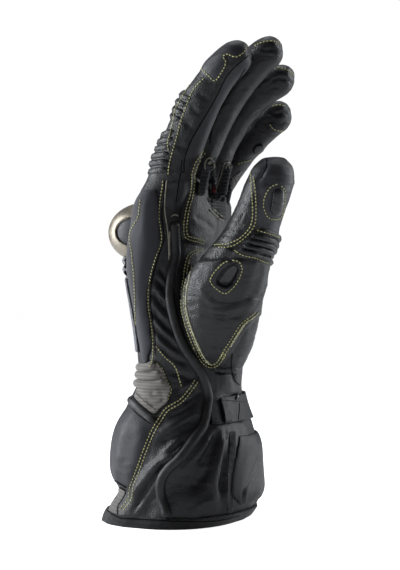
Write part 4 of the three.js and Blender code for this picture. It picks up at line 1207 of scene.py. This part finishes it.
# %% Fork gussets
fork_tree = layered()
PANEL = [
    (206, 176), (213, 178), (220, 180), (227, 183), (226.5, 200), (227.5, 210), (224.5, 221.5), (216, 214),
    (209.5, 203), (207, 190),
]
layer("fork_panel", PANEL, 0.6, gusset_knit, fork_tree, "black_leather", lift=0.6, rounds=6)
fork_tree = layered()
LOOPS = [
    [(209.4, 161), (210.2, 168), (212, 178), (214.2, 188), (215.8, 199)],
    [(227.4, 165.5), (226.3, 172), (224.4, 182), (222.6, 192), (221.4, 203)],
]
ribbed = {"rib": 0.13, "pitch": 2.1, "taper": 2.5}
drawn("fork_loops", LOOPS, fork_tree, 1.0, 2.7, gusset_knit, "black_leather", lift=0.4, **ribbed)
rows = []
for y in np.arange(196, 217, 2.6):
    left, right = 207 + max(0, y - 200) * 0.62, 227
    rows.append([(left, y), ((left + right) / 2, y + 1.2), (right, y + 2.2)])
drawn("fork_ribs", rows, fork_tree, 1.2, 0.75, gusset_knit, "black_leather", lift=0.3)
fork_tree = layered()
PIPES = [
    [(205.6, 170), (205.4, 163), (209, 158.4), (213.2, 161.4), (214.4, 169), (216, 176)],
    [(222.6, 172), (224, 165), (227.6, 161.8), (231.4, 164.6), (231.2, 172)],
    [(223, 170), (220.4, 178), (217, 187), (215.6, 192)],
    [(208.6, 209), (215, 215), (223.8, 221.6)],
    [(211.6, 208), (217.6, 213), (224.6, 218.6)],
    [(209.4, 165), (209.2, 162.6), (210.6, 162.4), (211.2, 165)],
    [(226, 169), (226.8, 166), (228.8, 166), (229, 169)],
]
drawn("fork_piping", PIPES, fork_tree, 0.8, 0.55, piping, lift=0.3)
FORK_CLOTH = [(229.5, 180), (235, 174.5), (243, 169.5), (238, 177), (233.5, 187), (230, 189)]
under = {"tree": fork_tree, "slot": "black_leather", "lift": 0.6}
layer("little_fork_cloth", FORK_CLOTH, 0.6, ash_knit, rounds=4, step=0.8, **under)
drawn("red_tab", [[(213.8, 187.8), (214.6, 193.8)]], fork_tree, 0.8, 1.1, red_cloth, lift=0.9)
print("fork gussets", len(LOOPS) + len(rows) + len(PIPES), "lines")

# %% [markdown]
# ## Cords, seams and edges
# A worn pale cord runs beside the stitches of the palm patch, and frays at its right arm. Seams between
# panels are narrow shadows, so each is a thin black roll that lies almost flush with the leather.

# %% Cords and seam lines
line_tree = layered()
CORDS = [
    [
        (191.6, 265), (189.6, 278), (186.6, 292), (186.4, 308), (190.6, 326), (197.4, 344), (205, 359),
        (212, 365.5),
    ],
    [(230, 347), (236, 337), (241, 329), (246, 322), (252, 318.5), (259, 312)],
]
drawn("worn_cord", CORDS, line_tree, 1.0, 0.55, worn_thread, lift=0.15, rough=1.1)
SHADOWS = [
    [(266.8, 158.5), (265.7, 168), (259.6, 180.5)],
    [(249, 55), (228.5, 74), (215.3, 99), (199, 126.8), (190, 143), (184.5, 159), (184, 172)],
    [(246, 68), (228.5, 94.5), (213.8, 123.8), (209.4, 145.8)],
    [
        (164.6, 180), (163.8, 199), (161.6, 214.5), (163, 228), (163.8, 240), (158.4, 257), (154.6, 269.5),
        (151.6, 282.7), (150.6, 294.6), (151, 308.6), (153.6, 326), (155, 340), (155, 356),
    ],
    [(114.4, 484.2), (120.4, 488), (127, 492)],
    [(127.6, 402.6), (132, 408.6), (138.4, 414.8), (145, 420), (151, 424.4)],
    [(232.3, 353), (231.2, 366), (234.2, 379), (240, 386)],
    [(239.6, 402), (239.2, 411), (237.8, 422)],
    [(182, 159), (181, 171), (186, 172)],
    [(176, 203), (178.5, 185), (181, 172)],
    [(105.3, 508.8), (118, 517.2), (133, 518.8), (160, 520.3), (179, 521.4), (215, 521), (241, 515.3)],
]
drawn("seam_shadows", SHADOWS, line_tree, 1.2, 0.42, painted_seam_shade, lift=-0.12)
# a thicker roll of painted shade along the seam at the foot of the cuff's pad
HEAVY_SHADOW = [(113.2, 479.7), (120, 483.6), (127.4, 488)]
drawn("pad_seam", [HEAVY_SHADOW], line_tree, 1.2, 0.8, painted_seam_shade, lift=-0.1)
EDGES = [
    [(166.8, 180), (164.8, 200), (165, 213), (167.6, 231), (168.6, 246), (169, 261)],
    [(171, 216.5), (175, 214.6), (179.4, 217)],
    [(169.6, 231), (169.4, 246), (170, 257)],
]
RING = [(235.8, 400), (236.6, 396.4), (239, 394.6), (241.4, 395.4)]
drawn("ring_edge", [RING], layered(), 0.8, 0.8, dark_steel, "ring_steel", lift=0.5)
drawn("leather_edges", EDGES, line_tree, 1.2, 0.4, piping, lift=0.1)
print("cords, seams and edges", len(CORDS) + len(SHADOWS) + len(EDGES))

# %% [markdown]
# ## Stitches
# The glove is sewn with thick waxed thread in a pale yellow green, nearly five stitches to the centimetre.
# A stitch is a short grain of thread that sinks into the leather at both ends, so each is a small
# stretched ball laid along the line, on top of whatever panel is there.

# %% Sewing
def sew(shape, line, pitch=2.1, long=1.65, thick=0.78, lift=0.16):
    """Adds the stitches of one line to a bmesh. Sizes are in mm."""
    count = 0
    for run in unbroken(line):
        total = lengths(run)
        number = int(total[-1] / (pitch * MM))
        for k in range(number):
            place, normal, ahead = at_length(run, total, (k + 0.5) * pitch * MM)
            side = normal.cross(ahead).normalized()
            up = ahead.cross(side).normalized()
            turn = Matrix((ahead, side, up)).transposed().to_4x4()
            size = Matrix.Diagonal((long / 2 * MM, thick / 2 * MM, thick / 2 * MM, 1))
            place = Matrix.Translation(place + up * lift * MM) @ turn @ size
            bmesh.ops.create_uvsphere(shape, u_segments=6, v_segments=4, radius=1, matrix=place)
            count += 1
    return count


def beside(marks, distance):
    """Picture marks moved sideways, to the right of a line that goes up, by a distance in mm."""
    moved = []
    for i, (u, v) in enumerate(marks):
        (u0, v0), (u1, v1) = marks[max(0, i - 1)], marks[min(len(marks) - 1, i + 1)]
        scale = distance / PIXEL / math.hypot(u1 - u0, v1 - v0)
        moved.append((u + (v1 - v0) * scale, v - (u1 - u0) * scale))
    return moved


PALE_SEAMS = {
    "bolster_front": [
        (163, 180), (162.4, 187), (160.2, 199), (159, 214.5), (160.5, 228), (161.6, 237), (160.2, 246),
        (155.8, 257), (152, 269.5), (149.2, 282.7), (148.2, 294.6), (148.6, 308.6), (151.4, 326),
        (152.8, 340), (152.8, 356), (150.7, 364.7), (147, 368),
    ],
    "bolster_back": [
        (140.5, 199), (139.5, 207), (138, 217), (133, 226), (130, 233), (129.8, 242), (131.6, 252),
        (132.6, 262), (133.6, 272), (135, 300), (135.6, 330),
    ],
    "index_side_back": [(200, 68), (187.7, 88), (176, 108), (172.8, 123), (167.8, 143), (169.5, 153)],
    "index_side_front": [(204, 78), (192.7, 91), (182.7, 116), (176, 139.5), (169.5, 163), (167.8, 179)],
    "index_cap": [
        (200, 67.3), (207, 74), (214.2, 80.6), (220, 74.8), (225.8, 63), (223.3, 56.5), (227.5, 54),
        (232, 56), (237.4, 56.5), (244, 51.6), (246.6, 45),
    ],
    "index_patch_outer": [
        (203, 151), (196, 162), (192, 173), (191.5, 183.6), (190, 195), (186, 210), (183.8, 225.6),
        (184.6, 235.6), (188.4, 239.4), (200, 242.5), (205, 245),
    ],
    "thumb_left": [
        (250.4, 171), (251.5, 183.6), (252.3, 199), (252.7, 212.6), (251.5, 223), (247.3, 231),
        (238, 239.4), (226, 244), (213.7, 244.8),
    ],
    "thumb_right": [
        (253.5, 177), (255.4, 191), (256, 206.5), (255.4, 221.8), (251, 231), (241, 241), (229, 247),
        (216.7, 247),
    ],
    "thumb_button_ring": [
        (278, 184), (271, 187), (266, 194), (263.4, 203.5), (265, 212), (269, 218), (275.6, 219.5),
        (281, 217), (283.8, 209), (285, 198), (284, 189), (278, 184),
    ],
    "palm_outer": [
        (202.7, 249), (195, 250), (188, 255), (184.6, 267), (183, 280), (181, 291), (181.6, 308.6),
        (185.8, 326), (192, 343.7), (199.8, 359.8), (206, 366), (212.5, 367.5), (219, 364), (227, 353),
    ],
    "palm_arm": [(222, 359), (228, 349), (235, 338), (242, 327), (250, 320), (258, 314)],
    "palm_button_ring": [
        (232, 260), (239, 262), (242, 268), (241, 274), (238, 281), (232.8, 288), (225, 293.5),
        (216, 288.5), (211, 283), (210.6, 279), (213, 274), (218, 268), (223.6, 263), (232, 260),
    ],
    "rib_top": [(256.5, 230), (262, 231.5), (268, 233.3), (275, 235.7), (281, 238)],
    "rib_low": [(233.6, 250), (241, 254.5), (248, 256.5), (255, 258), (262.7, 261.4), (271, 263.7)],
    "wrist_front": [(155.6, 345.8), (164.7, 357), (171.8, 363), (176.7, 370), (179.2, 379), (183, 390)],
    "wrist_back": [(156.2, 362.5), (162.3, 368.4), (167, 380.7), (171.5, 390), (168.5, 396.7), (168, 401.7)],
    "cuff_outer": [
        (195.2, 379.5), (187.6, 390.6), (179.2, 400), (166.2, 408), (160, 416.6), (153, 428), (147.8, 439),
        (142.4, 452.6), (136.7, 468.6), (134, 476), (130, 487), (128.7, 497), (125.6, 502.7), (121, 508),
        (119.5, 514),
    ],
    "little_loop": [(237.4, 164.4), (243, 162), (249, 160.5), (254.2, 158.3)],
    "little_seam": [(269.5, 124), (273, 128.5), (278, 130.5), (285, 131)],
    "middle_top": [(254, 46), (262, 42.5), (270, 41), (277, 42), (282, 45)],
    "ring_top": [(274, 68), (281, 68), (288, 70.5), (294, 76)],
    "little_top": [(272, 106.5), (279, 105), (286, 106.5)],
}
DOUBLE = {"index_patch_outer": 1.9, "palm_outer": 1.9, "palm_arm": 1.8, "cuff_outer": 2.2}

# %% The stitches that the camera sees
top = layered()
threads = bmesh.new()
stitches = 0
for name, marks in PALE_SEAMS.items():
    line = seen(top, marks)
    stitches += sew(threads, line)
    if name in DOUBLE:
        stitches += sew(threads, seen(top, beside(marks, DOUBLE[name])))
new_piece("pale_stitches", threads, pale_thread)
print("pale stitches", stitches)

# %% Seams of the back and the far side
BACK_SEAMS = [
    # heights in mm and degrees round the wrist's axis
    [(96, 215), (120, 213), (145, 210), (160, 208)],
    [(96, 140), (120, 142), (145, 147), (160, 149)],
    [(96, 215), (93, 190), (94, 165), (96, 140)],
    [(84, 120), (110, 112), (150, 106), (190, 104)],
    [(84, 60), (110, 66), (150, 72), (190, 78)],
    [(10, 118), (40, 122), (60, 124), (80, 122)],
    [(10, 62), (40, 60), (60, 58)],
]
back_tree = layered()
back_lines = [around(back_tree, marks) for marks in BACK_SEAMS]
# thin black rolls along the back seams are painted shade in the seams' grooves; the pale stitches beside them
# are real thread
roll("back_seams", back_lines, 0.42, painted_seam_shade, lift=-0.1)
threads = bmesh.new()
back_count = sum(sew(threads, around(back_tree, [(z, a + 3) for z, a in marks])) for marks in BACK_SEAMS[:5])
new_piece("back_stitches", threads, pale_thread)
print("back seams", len(BACK_SEAMS), "stitches", back_count)

# %% Black stitches
DARK_SEAMS = [
    [(215, 399.6), (230, 400.6), (246, 402)],
    [(212.5, 421.4), (228, 422.4), (245, 422.4)],
    [(134.5, 391), (142, 399), (150, 405.5), (157.5, 411.5)],
    [(178.6, 226), (179.2, 246), (179, 257), (175.6, 273), (173.6, 294)],
]
threads = bmesh.new()
dark_count = sum(sew(threads, seen(top, marks), thick=0.6) for marks in DARK_SEAMS)
new_piece("dark_stitches", threads, black_thread)
print("dark stitches", dark_count)
